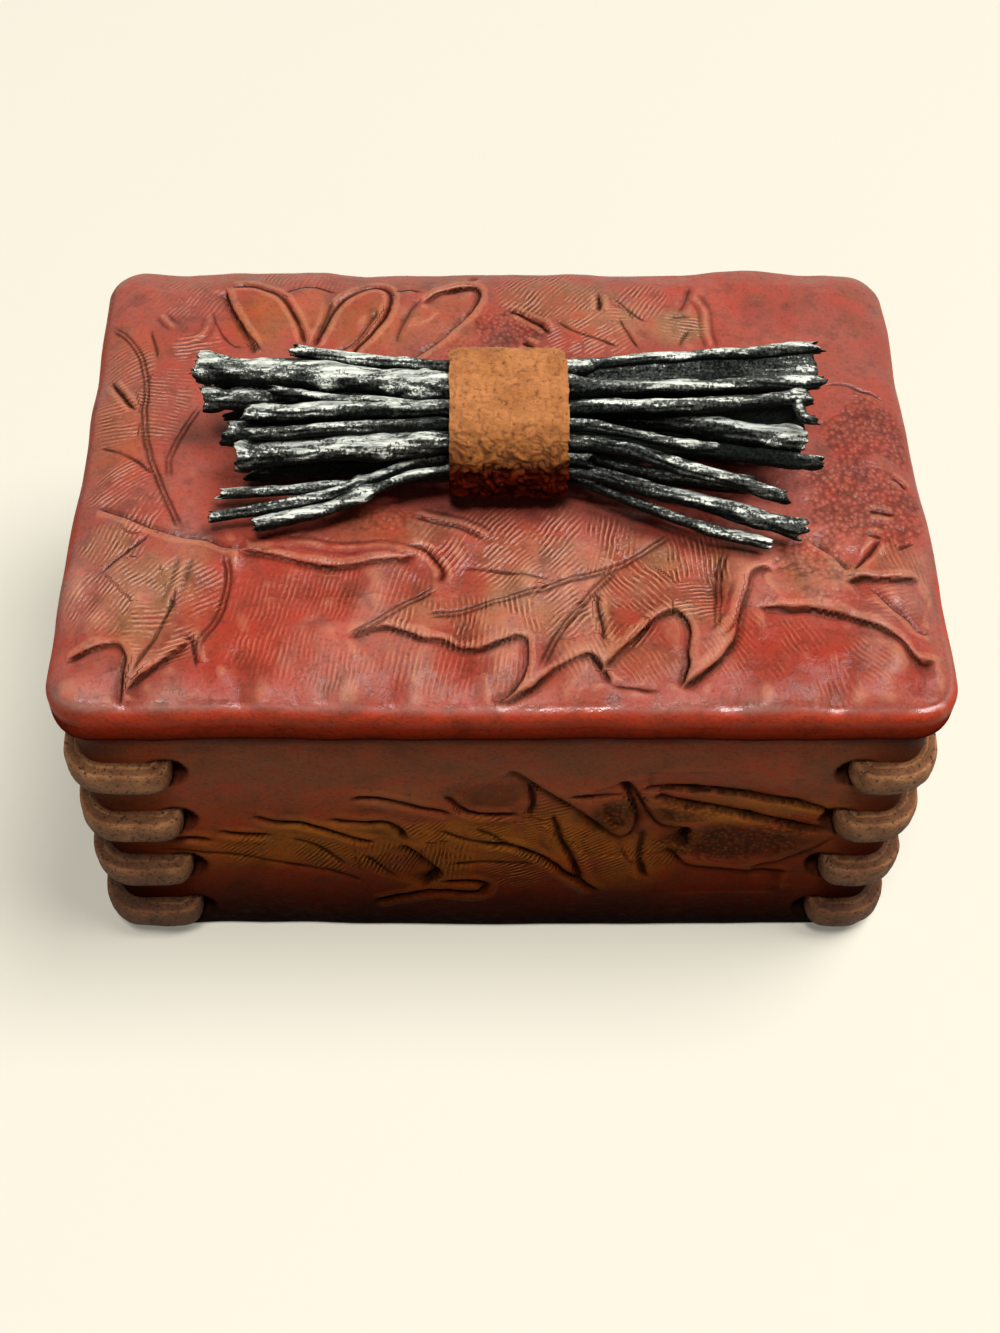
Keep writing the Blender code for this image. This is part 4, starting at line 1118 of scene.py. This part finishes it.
def make_band(material):
    """The band's crumpled suede, with ragged edges, round the outline of the CAD's band."""
    points = cad_points("tie_band")
    middle_x, half = (BAND_LOW[0] + BAND_HIGH[0]) / 2, (BAND_HIGH[0] - BAND_LOW[0]) / 2
    widest = points[np.abs(points[:, 0] - middle_x) < 0.2 * MM][:, 1:]
    outline = even_loop(hull(widest), BAND_ROUND_STEPS)
    run = np.roll(outline, -1, axis=0) - np.roll(outline, 1, axis=0)
    out = np.column_stack([run[:, 1], -run[:, 0]]) / np.linalg.norm(run, axis=1)[:, None]
    sections = [(share, 0.0) for share in np.linspace(-1, 1, BAND_ACROSS_STEPS)] + BAND_UNDERSIDE
    all_points, crease_shade = [], []
    for share, depth in sections:
        place = np.column_stack([np.full(len(outline), share * half), outline])
        ragged, seed = BAND_RAGGED[int(share > 0)]
        bite = ragged * MM * (1 + layered(place[:, 1:], 1.5, seed)) * smooth((abs(share) - 0.55) / 0.45)
        warped = place + np.column_stack([rough(place, (warp,)) for warp in BAND_WARP])
        deep = 0.34 + 0.76 * ramp(BAND_HIGH[2] - place[:, 2], *BAND_CRUMPLING)
        wide, narrow = (np.clip(1 - 2.4 * np.abs(noise(warped, *own)), 0, 1) for own in BAND_CREASES)
        puffs = layered(warped, 1.0, 97)
        valley = np.clip(0.65 * wide + 0.55 * narrow - 0.25 * puffs, 0, 1) * deep
        sag = MM * (0.15 * (1 - puffs) * deep + 0.44 * valley + 0.10 * (1 + noise(place, 5, 99)))
        lip = BAND_LIP * smooth((abs(share) - 0.86) / 0.14)
        inward = (sag + lip) * (1 - depth) + BAND_THICKNESS * depth
        x = middle_x + np.sign(share) * (abs(share) * half - bite)
        all_points.append(np.column_stack([x, outline - out * inward[:, None]]))
        crease_shade.append(valley)
    rings = ring_numbers(len(sections), len(outline))
    faces = skin(rings + rings[:1])
    piece = mesh_piece("band_suede", np.vstack(all_points), faces, [("crease_shade", np.concatenate(crease_shade))])
    dress(piece, material, "lid", "band_leather", "tie_band")


def make_laces(material):
    for corner, _, _ in LACE_CORNERS:
        for row in range(1, 5):
            node = f"lace_{corner}_{row}"
            piece = refined(node, f"{node}_thong", 2, worn_leather)
            dress(piece, material, "box", "lace_leather", node)


# Twigs

def twig_rings(node):
    """The middle line and the radii of a CAD twig, from its rings, each of which lies across X."""
    points = cad_points(node)
    keys = np.round(points[:, 0] / (0.02 * MM)).astype(int)
    middles, radii = [], []
    for key in sorted(set(keys)):
        ring = points[keys == key]
        if len(ring) < 4:
            continue
        middle = (ring.min(0) + ring.max(0)) / 2
        middles.append(middle)
        radii.append((ring[:, 2].max() - ring[:, 2].min()) / 2)
    return np.array(middles), np.array(radii)


def split_log(first, second, proud):
    """The dark hollow of a split log between the middle lines of two twigs: points, faces and how far each
    point stands out."""
    start, end = BAND_HIGH[0] - 0.5 * MM, min(first[-1, 0], second[-1, 0]) - 0.8 * MM
    xs = np.arange(start, end, TWIG_STEP)
    edges = [[np.interp(xs, line[:, 0], line[:, axis]) for axis in (1, 2)] for line in (first, second)]
    shares = np.linspace(0, 1, LOG_ACROSS)
    points = []
    for i, x in enumerate(xs):
        (y_one, z_one), (y_two, z_two) = ((ys[i], zs[i]) for ys, zs in edges)
        hang = 4 * LOG_SAG * shares * (1 - shares)
        top = np.column_stack([
            np.full(LOG_ACROSS, x), y_one + (y_two - y_one) * shares, z_one + (z_two - z_one) * shares - hang,
        ])
        streaks = top * np.array([0.15, 1, 1])
        top[:, 2] += rough(streaks, LOG_STREAKS) + rough(top, LOG_PITS)
        if i == len(xs) - 1:
            top[:, 0] += rough(top, LOG_END)
        under = top - np.array([0, 0, LOG_SKIN])
        points.append(np.vstack([top, under[::-1]]))
    side = 2 * LOG_ACROSS
    rings = ring_numbers(len(xs), side)
    faces = skin(rings) + [rings[0][::-1], rings[-1]]
    return np.vstack(points), faces, np.full(len(xs) * side, proud)


def joined(parts):
    """Several sets of points, faces and standing out as one."""
    points, faces, proud, total = [], [], [], 0
    for own_points, own_faces, own_proud in parts:
        points.append(own_points)
        faces += [tuple(number + total for number in face) for face in own_faces]
        proud.append(own_proud)
        total += len(own_points)
    return np.vstack(points), faces, np.concatenate(proud)


def spread(values):
    """Values along a twig, each repeated round it."""
    return np.repeat(values, TWIG_SIDES, axis=0)


def tube(middles, radii, seed, ruggedness):
    """A bark-covered tube: points, faces and how far each point stands out, with broken hollow ends."""
    count = len(middles)
    turn = np.arange(TWIG_SIDES) / TWIG_SIDES * 2 * math.pi
    runs = np.gradient(middles, axis=0)
    runs /= np.linalg.norm(runs, axis=1)[:, None]
    side = np.cross(runs, [0, 0, 1.0])
    side /= np.linalg.norm(side, axis=1)[:, None]
    up = np.cross(side, runs)
    way = np.concatenate([[0], np.cumsum(np.linalg.norm(np.diff(middles, axis=0), axis=1))])
    angle, along, radius = np.tile(turn, count), spread(way), spread(radii)
    around = np.column_stack([along * 0.14, np.cos(angle) * radius, np.sin(angle) * radius])
    furrows = np.clip(3.2 * np.abs(noise(around, 1.0, seed)), 0, 1) - 0.6
    plates = noise(around * np.array([4.0, 1, 1]), 1.5, seed + 5)
    flakes = noise(around * np.array([3.0, 1, 1]), 0.5, seed + 6)
    stand = 0.55 * furrows + 0.45 * plates + 0.36 * flakes
    reach = radius * (1 + ruggedness * stand)
    outward = spread(side) * np.cos(angle)[:, None] + spread(up) * np.sin(angle)[:, None]
    points = spread(middles) + outward * reach[:, None]
    proud = [stand]
    rim = np.column_stack([np.cos(turn), np.sin(turn), turn * 0]) * 2 * MM
    reach_back = min(END_REACH, way[-1] / 3)
    for end, inward, own_seed in ((0, 1, seed + 9), (-1, -1, seed + 11)):
        jag = 0.9 + 0.8 * noise(rim, 2.0, own_seed) + 0.45 * noise(rim, 0.7, own_seed + 1)
        near_end = np.clip(1 - np.abs(along - way[end]) / reach_back, 0, 1)
        moved = inward * END_JAG * np.tile(np.clip(jag, 0, 2.2), count) * near_end
        points += spread(runs) * moved[:, None]
    rings = ring_numbers(count, TWIG_SIDES)
    faces = skin(rings)
    total = count * TWIG_SIDES
    caps = []
    for end, inward in ((0, 1), (-1, -1)):
        last = rings[end]
        edge = points[last] - middles[end]
        for wide, deep, jagged, stands_out in END_RINGS:
            middle = middles[end] + runs[end] * inward * deep * MM
            caps.append(middle + edge * np.where(np.abs(runs[end]) > 0.7, jagged, wide))
            proud.append(np.full(TWIG_SIDES, stands_out))
            following = ring_numbers(1, TWIG_SIDES, total)[0]
            faces += skin([last, following])
            last = following
            total += TWIG_SIDES
        faces.append(last)
    return np.vstack([points] + caps), faces, np.concatenate(proud)


def twig_line(node):
    """A twig's middle line and radii, in fine steps and with the bends, knots and thin ends that it has."""
    number = int(node[-2:])
    middles, radii = twig_rings(node)
    count = int((middles[-1, 0] - middles[0, 0]) / TWIG_STEP)
    xs = np.linspace(middles[0, 0], middles[-1, 0], count)
    fine = np.column_stack([xs] + [np.interp(xs, middles[:, 0], middles[:, axis]) for axis in (1, 2)])
    width = np.interp(xs, middles[:, 0], radii)
    kernel = np.hanning(13) / np.hanning(13).sum()
    for axis in (1, 2):
        fine[:, axis] = np.convolve(np.pad(fine[:, axis], 6, mode="edge"), kernel, mode="valid")
    outside = ramp(np.abs(xs - (BAND_LOW[0] + BAND_HIGH[0]) / 2), *TWIG_BENDING)
    line = np.column_stack([xs, np.full(count, number * 5 * MM)])
    fine[:, 1] += rough(line, TWIG_SWAY) * outside
    fine[:, 2] += rough(line, TWIG_RISE) * outside
    width = width * (0.99 + 0.10 * noise(line, 3.5, 203) * outside)
    bright = np.zeros(count)
    for owner, pixel, half, swelling in TWIG_KNOTS:
        if owner == number:
            knot = groove(xs - at_level(pixel, fine[:, 2].mean())[0], half * MM)
            width = width * (1 + swelling * knot)
            bright += 0.7 * knot
    if number in LOG_EDGES:
        beyond = ramp(xs - BAND_HIGH[0], 0, LOG_FADE)
        apart = 1 if number == LOG_EDGES[0] else -1
        fine[:, 1] += apart * LOG_SPREAD * width * beyond
        fine[:, 2] += LOG_LIFT * width * beyond
        width = width * (1 - LOG_THINNING * beyond)
    for owner, pixel, share in TWIG_THINNED:
        if owner == number:
            start = at_level(pixel, fine[:, 2].mean())[0]
            beyond = ramp(xs - start, 0, 1) * (xs < BAND_LOW[0])
            width = width * (1 - (1 - share) * beyond)
    return fine, width, bright


def make_twigs(material):
    nodes = sorted(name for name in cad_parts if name.startswith("twig_"))
    lines = {int(node[-2:]): twig_line(node) for node in nodes}
    for node in nodes:
        number = int(node[-2:])
        fine, width, bright = lines[number]
        points, faces, proud = tube(fine, width, TWIG_SEED + number * TWIG_SEED_STEP, TWIG_RUGGEDNESS)
        proud = proud + np.interp(points[:, 0], fine[:, 0], bright)
        proud = proud - RIGHT_DULLNESS * ramp(points[:, 0] - BAND_HIGH[0], 0, DULLNESS_REACH)
        off_band = np.maximum(points[:, 0] - BAND_HIGH[0], BAND_LOW[0] - points[:, 0])
        # Painted shade near the band and on the twigs that others hide
        proud = proud - NEAR_BAND_SHADE * closeness(off_band, DULLNESS_REACH)
        if number in HIDDEN_TWIGS:
            from_end = np.minimum(points[:, 0] - fine[0, 0], fine[-1, 0] - points[:, 0])
            proud = proud - HIDDEN_SHADE * ramp(from_end, 0, DULLNESS_REACH)
        parts = [(points, faces, proud)]
        for owner, pixels, radius in TWIG_STUBS:
            if owner == number:
                own_end = fine[-1] if pixels[0][0] > PRINCIPAL[0] else fine[0]
                stub = smooth_line([at_level(pixel, own_end[2]) for pixel in pixels], 0.25 * MM)
                stub = np.column_stack([stub, np.full(len(stub), own_end[2])])
                taper = np.linspace(1.0, 0.7, len(stub)) * radius * MM
                parts.append(tube(stub, taper, STUB_SEED + number, STUB_RUGGEDNESS))
        if number == LOG_EDGES[0]:
            parts.append(split_log(lines[LOG_EDGES[0]][0], lines[LOG_EDGES[1]][0], LOG_PROUD))
        # The dark sheet of painted shade between two twigs
        if number == FILLED_EDGES[0]:
            parts.append(split_log(fine, lines[FILLED_EDGES[1]][0], FILLED_SHADE))
        points, faces, proud = joined(parts)
        piece = mesh_piece(f"{node}_bark", points, faces, [("proud", proud)])
        dress(piece, material, "lid", "twig_bark", node)


# Materials

def wire(tree, socket, value):
    if isinstance(value, bpy.types.NodeSocket):
        tree.links.new(value, socket)
    else:
        socket.default_value = value


def add(tree, kind, output, inputs, **settings):
    """A shader node with its settings and inputs, by name or number. It returns one of its outputs."""
    node = tree.nodes.new(kind)
    for label, value in settings.items():
        setattr(node, label, value)
    for label, value in inputs.items():
        wire(tree, node.inputs[label], value)
    return node.outputs[output]


def calc(tree, operation, *values):
    return add(tree, "ShaderNodeMath", 0, dict(enumerate(values)), operation=operation)


def times(tree, first, second):
    return calc(tree, "MULTIPLY", first, second)


def mix(tree, share, first, second):
    return add(tree, "ShaderNodeMix", 2, {0: share, 6: first, 7: second}, data_type="RGBA")


def span(tree, value, low, high, to_low=0.0, to_high=1.0):
    """A value eased from one range into another."""
    return add(
        tree, "ShaderNodeMapRange", 0,
        {0: value, 1: low, 2: high, 3: to_low, 4: to_high}, interpolation_type="SMOOTHSTEP",
    )


def attribute(tree, label, output="Fac"):
    return add(tree, "ShaderNodeAttribute", output, {}, attribute_name=label)


def grain(tree, size, detail=3.0, roughness=0.55, stretch=None):
    """Noise of a size in mm, on the piece's own coordinates."""
    place = own_place(tree)
    if stretch:
        place = add(tree, "ShaderNodeMapping", 0, {"Vector": place, "Scale": stretch})
    inputs = {"Vector": place, "Scale": 1 / (size * MM), "Detail": detail, "Roughness": roughness}
    return add(tree, "ShaderNodeTexNoise", "Fac", inputs)


def bump(tree, height, distance, normal=None):
    """A normal bumped by a height, over a distance in mm, on top of another normal."""
    inputs = {"Height": height, "Distance": distance * MM, "Strength": 1.0}
    if normal:
        inputs["Normal"] = normal
    return add(tree, "ShaderNodeBump", "Normal", inputs)


def own_place(tree):
    return add(tree, "ShaderNodeTexCoord", "Object", {})


def upward(tree, vector):
    """The part of a vector along Z."""
    return add(tree, "ShaderNodeSeparateXYZ", 2, {0: vector})


def seen_directly(tree):
    """1 for the camera's rays and for mirrored or transmitted ones, and 0 for the rest."""
    total = add(tree, "ShaderNodeLightPath", "Is Camera Ray", {})
    for label in ("Is Glossy Ray", "Is Transmission Ray"):
        total = calc(tree, "ADD", total, add(tree, "ShaderNodeLightPath", label, {}))
    return calc(tree, "MINIMUM", total, 1.0)


def new_material(name):
    material = bpy.data.materials.new(name)
    material.use_nodes = True
    return material, material.node_tree


def surface(material, tone, specular, roughness, normal=None):
    """Gives a material its main surface and returns that surface's shader."""
    tree = material.node_tree
    shader = tree.nodes["Principled BSDF"]
    inputs = {"Base Color": tone, "Specular IOR Level": specular, "Roughness": roughness}
    if normal:
        inputs["Normal"] = normal
    for label, value in inputs.items():
        wire(tree, shader.inputs[label], value)
    return shader


def colour(rgb):
    return (*rgb, 1.0)


def covered(tree, share, tone, rgb):
    """A tone covered by another, as far as its share goes."""
    return mix(tree, share, tone, colour(rgb))


def deepened(tree, share, tone, tint):
    """A tone multiplied by a tint, as far as its share goes."""
    inputs = {0: share, 6: tone, 7: colour(tint)}
    return add(tree, "ShaderNodeMix", 2, inputs, data_type="RGBA", blend_type="MULTIPLY")


def overlaid(tree, tone, layers):
    """A tone with layers over it, each with how it lies on the tone, how much of it shows and its colour."""
    for lay, share, rgb in layers:
        tone = lay(tree, share, tone, rgb)
    return tone


def resin_material(name, rubbed_and_highlight, wear_and_highlight, sheen, roughness, line_half_width, depth):
    """Painted resin: colours laid on by hand, dark wash with painted shade in the grooves, hatching, pebbles
    and varnish, with paler crests that are rubbed and carry painted highlights.
    """
    material, tree = new_material(name)
    wash, worn = attribute(tree, "wash"), attribute(tree, "worn")
    wobble = times(tree, grain(tree, 1.3, 2.0), 0.45)
    phase = calc(tree, "ADD", attribute(tree, "phase"), wobble)
    ripple = calc(tree, "SINE", times(tree, phase, 2 * math.pi))
    strength = times(tree, attribute(tree, "hatch"), span(tree, grain(tree, 1.6, 4.0), 0.34, 0.62))
    inputs = {"Vector": own_place(tree), "Scale": 1 / PEBBLE_SIZE, "Smoothness": 0.35}
    cells = add(tree, "ShaderNodeTexVoronoi", "Distance", inputs, feature="SMOOTH_F1")
    crackle = attribute(tree, "crackle")
    pebbles = times(tree, cells, crackle)
    mottle = grain(tree, 3.2, 6.0, 0.62)
    speck = grain(tree, 0.45, 3.0, 0.6)
    off = calc(tree, "DIVIDE", attribute(tree, "line"), line_half_width)
    off = times(tree, off, span(tree, grain(tree, 2.0, 3.0), 0.36, 0.62, 1.5, 0.75))
    core = calc(tree, "EXPONENT", times(tree, times(tree, off, off), -1.0))
    core = times(tree, core, attribute(tree, "line_share"))
    edges = times(tree, span(tree, worn, 0.20, 0.90), span(tree, speck, 0.35, 0.60, 0.35, 1.0))
    settled_and_shade = times(tree, wash, span(tree, grain(tree, 0.9), 0.15, 0.6, 0.60, 1.0))
    furrow = times(tree, span(tree, ripple, 0.1, -0.9), strength)
    crest = times(tree, span(tree, ripple, 0.2, 1.0), strength)
    # The paler hatch crests, pebble crests and raised edges are painted highlights in the rubbed colour
    tone = overlaid(tree, attribute(tree, "paint", "Color"), (
        (deepened, span(tree, mottle, 0.42, 0.70, 0.0, 0.60), (1.25, 0.75, 0.70)),
        (deepened, span(tree, mottle, 0.50, 0.30, 0.0, 0.55), (0.50, 0.54, 0.60)),
        (deepened, span(tree, speck, 0.46, 0.76, 0.0, 0.75), (0.50, 0.62, 0.60)),
        # Darker hatch furrows: painted shade of the fine lines
        (deepened, times(tree, furrow, 0.92), (0.28, 0.32, 0.28)),
        (covered, times(tree, crest, 0.56), rubbed_and_highlight),
        (deepened, span(tree, pebbles, 0.34, 0.74, 0.0, 0.62), (0.36, 0.36, 0.34)),
        (covered, times(tree, span(tree, cells, 0.40, 0.05, 0.0, 0.16), crackle), rubbed_and_highlight),
        (covered, times(tree, edges, wear_and_highlight), rubbed_and_highlight),
        # Painted shade in the hollows between crests
        (deepened, span(tree, worn, -0.20, -0.95, 0.0, 0.50), (0.40, 0.42, 0.38)),
        # Dark wash in the grooves and the fine lines' dark cores: antique wash and painted shade of the
        # grooves
        (covered, times(tree, settled_and_shade, 0.85), GROOVE_WASH_AND_SHADE),
        (covered, times(tree, core, 0.92), GROOVE_WASH_AND_SHADE),
    ))
    lit = times(tree, attribute(tree, "sheen"), span(tree, wash, 0.0, 0.5, sheen, 0.3 * sheen))
    lit = times(tree, lit, calc(tree, "SUBTRACT", 1.0, core))
    gloss = span(tree, grain(tree, 1.6, 5.0), 0.3, 0.7, roughness - 0.08, roughness + 0.14)
    normal = None
    for height, distance in (
        (times(tree, ripple, strength), 0.090 * depth),
        (times(tree, core, -1.0), 0.22 * depth),
        (times(tree, pebbles, -1.0), 0.15 * depth),
        (grain(tree, 0.55, 4.0, 0.60), 0.055),
        (grain(tree, 1.8, 3.0, 0.55), 0.18),
    ):
        normal = bump(tree, height, distance, normal)
    surface(material, tone, lit, gloss, normal)
    return material


def lace_material():
    """Brown thong: pitted, dark in its pores and paler where it is rubbed."""
    material, tree = new_material("lace_leather_finish")
    pores = grain(tree, 0.5, 5.0, 0.7)
    streak = grain(tree, 2.6, 3.0, 0.5)
    facing = upward(tree, add(tree, "ShaderNodeNewGeometry", "Normal", {}))
    height = upward(tree, own_place(tree))
    tone = overlaid(tree, colour(LACE_DARK), (
        (covered, span(tree, streak, 0.3, 0.7), LACE_PALE),
        (covered, span(tree, pores, 0.48, 0.34), (0.030, 0.012, 0.005)),
        (covered, span(tree, pores, 0.60, 0.78, 0.0, 0.6), (0.56, 0.26, 0.110)),
        # Painted shade: darker where the thong faces down, on its tops under the lid and towards the bottom
        (deepened, span(tree, facing, 0.25, -0.45), (0.22, 0.15, 0.12)),
        (deepened, span(tree, facing, 0.86, 0.98, 0.0, 0.70), (0.34, 0.28, 0.24)),
        (deepened, span(tree, height, 40 * MM, 4 * MM), (0.40, 0.34, 0.30)),
    ))
    surface(material, tone, 0.25, span(tree, pores, 0.3, 0.7, 0.65, 0.38), bump(tree, pores, 0.46))
    return material


def band_material():
    """Rough orange-brown suede, golden on its front, with painted shade that turns it dark red-brown beneath.
    """
    material, tree = new_material("band_leather_finish")
    depth = calc(tree, "SUBTRACT", BAND_HIGH[2], upward(tree, own_place(tree)))
    pores = grain(tree, 0.7, 6.0, 0.75)
    middle = span(tree, depth, 0.8 * MM, 4.5 * MM)
    # Painted shade on the band's lower part
    low = span(tree, depth, 3.3 * MM, 6.3 * MM)
    # Paler spots on the grain, kept off the shaded lower part: painted highlights
    rubbed_and_highlight = times(tree, span(tree, pores, 0.58, 0.78, 0.0, 0.5), calc(tree, "SUBTRACT", 1.0, low))
    tone = overlaid(tree, colour(BAND_DARK), (
        (covered, span(tree, grain(tree, 3.5, 3.0, 0.5), 0.3, 0.7), BAND_PALE),
        (covered, times(tree, middle, 0.90), BAND_GOLD),
        (covered, times(tree, low, 0.96), BAND_SHADE_BENEATH),
        (deepened, span(tree, pores, 0.50, 0.30), (0.30, 0.22, 0.16)),
        # Painted shade in the creases
        (deepened, attribute(tree, "crease_shade"), (0.22, 0.12, 0.07)),
        (covered, rubbed_and_highlight, (0.66, 0.30, 0.10)),
    ))
    specular = span(tree, depth, 3.0 * MM, 6.5 * MM, 0.32, 0.02)
    surface(material, tone, specular, span(tree, pores, 0.3, 0.7, 0.70, 0.42), bump(tree, pores, 0.58))
    return material


def bark_material():
    """Black bark, dry-brushed with silver on what stands out and faces up."""
    material, tree = new_material("twig_bark_finish")
    upness = upward(tree, add(tree, "ShaderNodeNewGeometry", "Normal", {}))
    streak = grain(tree, 0.50, 6.0, 0.70, (0.12, 1.0, 1.0))
    chips = grain(tree, 0.36, 5.0, 0.72)
    patches = grain(tree, 4.5, 2.0, 0.5, (0.45, 1.0, 1.0))
    cover = calc(tree, "ADD", upness, times(tree, attribute(tree, "proud"), 0.40))
    for source, weight in ((streak, 1.4), (chips, 2.0), (patches, 1.3)):
        cover = calc(tree, "ADD", cover, times(tree, calc(tree, "SUBTRACT", source, 0.5), weight))
    silver = span(tree, cover, 0.87, 1.12)
    tone = overlaid(tree, colour(BARK_BLACK), (
        (covered, span(tree, chips, 0.42, 0.62), BARK_GREY),
        (covered, span(tree, cover, 0.45, 0.90, 0.0, 0.5), (0.045, 0.050, 0.040)),
    ))
    bright = covered(tree, span(tree, streak, 0.40, 0.62), colour(SILVER_DULL), SILVER)
    shader = surface(
        material, mix(tree, silver, tone, bright), span(tree, cover, 0.3, 0.9, 0.03, 0.4),
        span(tree, streak, 0.3, 0.7, 0.28, 0.44), bump(tree, chips, 0.15, bump(tree, streak, 0.34)),
    )
    wire(tree, shader.inputs["Metallic"], times(tree, silver, 0.45))
    return material


# Stage

def make_floor():
    """A plain cream floor: it shows its own colour to the camera and keeps the box's shadow."""
    material, tree = new_material("floor_finish")
    camera_ray = add(tree, "ShaderNodeLightPath", "Is Camera Ray", {})
    tone = covered(tree, camera_ray, colour(FLOOR_LIGHTING), FLOOR_SHOWN)
    shader = surface(material, tone, 0.1, 0.9)
    glow = add(tree, "ShaderNodeEmission", 0, {"Color": colour(BACKGROUND), "Strength": 1.0})
    away = add(tree, "ShaderNodeVectorMath", 1, {0: own_place(tree)}, operation="LENGTH")
    glowing = span(tree, away, FLOOR_GLOW_START, FLOOR_GLOW_END, FLOOR_GLOW, 1.0)
    share = times(tree, seen_directly(tree), glowing)
    both = add(tree, "ShaderNodeMixShader", 0, {0: share, 1: shader.outputs[0], 2: glow})
    wire(tree, tree.nodes["Material Output"].inputs["Surface"], both)
    corners = [(x * FLOOR_HALF, y * FLOOR_HALF, 0) for x, y in ((-1, -1), (1, -1), (1, 1), (-1, 1))]
    mesh = bpy.data.meshes.new("floor")
    mesh.from_pydata(corners, [], [(0, 1, 2, 3)])
    mesh.materials.append(material)
    floor = placed("floor", mesh)


def area_lamp(name, place, target, size, power):
    data = bpy.data.lights.new(name, "AREA")
    data.shape = "DISK"
    data.size = size
    data.energy = power
    lamp = placed(name, data)
    lamp.location = place
    away = np.array(target) - np.array(place)
    pan = math.atan2(away[0], -away[1])
    tilt = math.acos(-away[2] / np.linalg.norm(away))
    lamp.rotation_euler = (tilt, 0, pan + math.pi)


def make_light():
    world = bpy.data.worlds.new("studio")
    bpy.context.scene.world = world
    world.use_nodes = True
    tree = world.node_tree
    background = tree.nodes["Background"]
    background.inputs["Color"].default_value = colour(BACKGROUND)
    strength = {0: seen_directly(tree), 1: 0.0, 2: 1.0, 3: WORLD_STRENGTH, 4: 1.0}
    wire(tree, background.inputs["Strength"], add(tree, "ShaderNodeMapRange", 0, strength))
    for name, lamp in LAMPS.items():
        area_lamp(name, *lamp)


def make_camera():
    data = bpy.data.cameras.new("camera")
    data.sensor_fit = "HORIZONTAL"
    data.sensor_width = SENSOR
    data.lens = SENSOR * FOCAL_PIXELS / IMAGE_WIDTH
    data.shift_x = (IMAGE_WIDTH / 2 - PRINCIPAL[0]) / IMAGE_WIDTH
    data.shift_y = (PRINCIPAL[1] - IMAGE_HEIGHT / 2) / IMAGE_WIDTH
    data.clip_start = 0.01
    data.dof.use_dof = False
    camera = placed("camera", data)
    camera.location = CAMERA
    camera.rotation_euler = (math.pi / 2 - PITCH, 0, 0)
    bpy.context.scene.camera = camera


def main():
    bpy.context.scene.view_settings.view_transform = "Standard"
    make_camera()
    make_light()
    make_floor()
    make_lid(resin_material("lid_resin_finish", *LID_FINISH))
    make_body(resin_material("body_resin_finish", *BODY_FINISH))
    make_laces(lace_material())
    make_band(band_material())
    make_twigs(bark_material())


main()
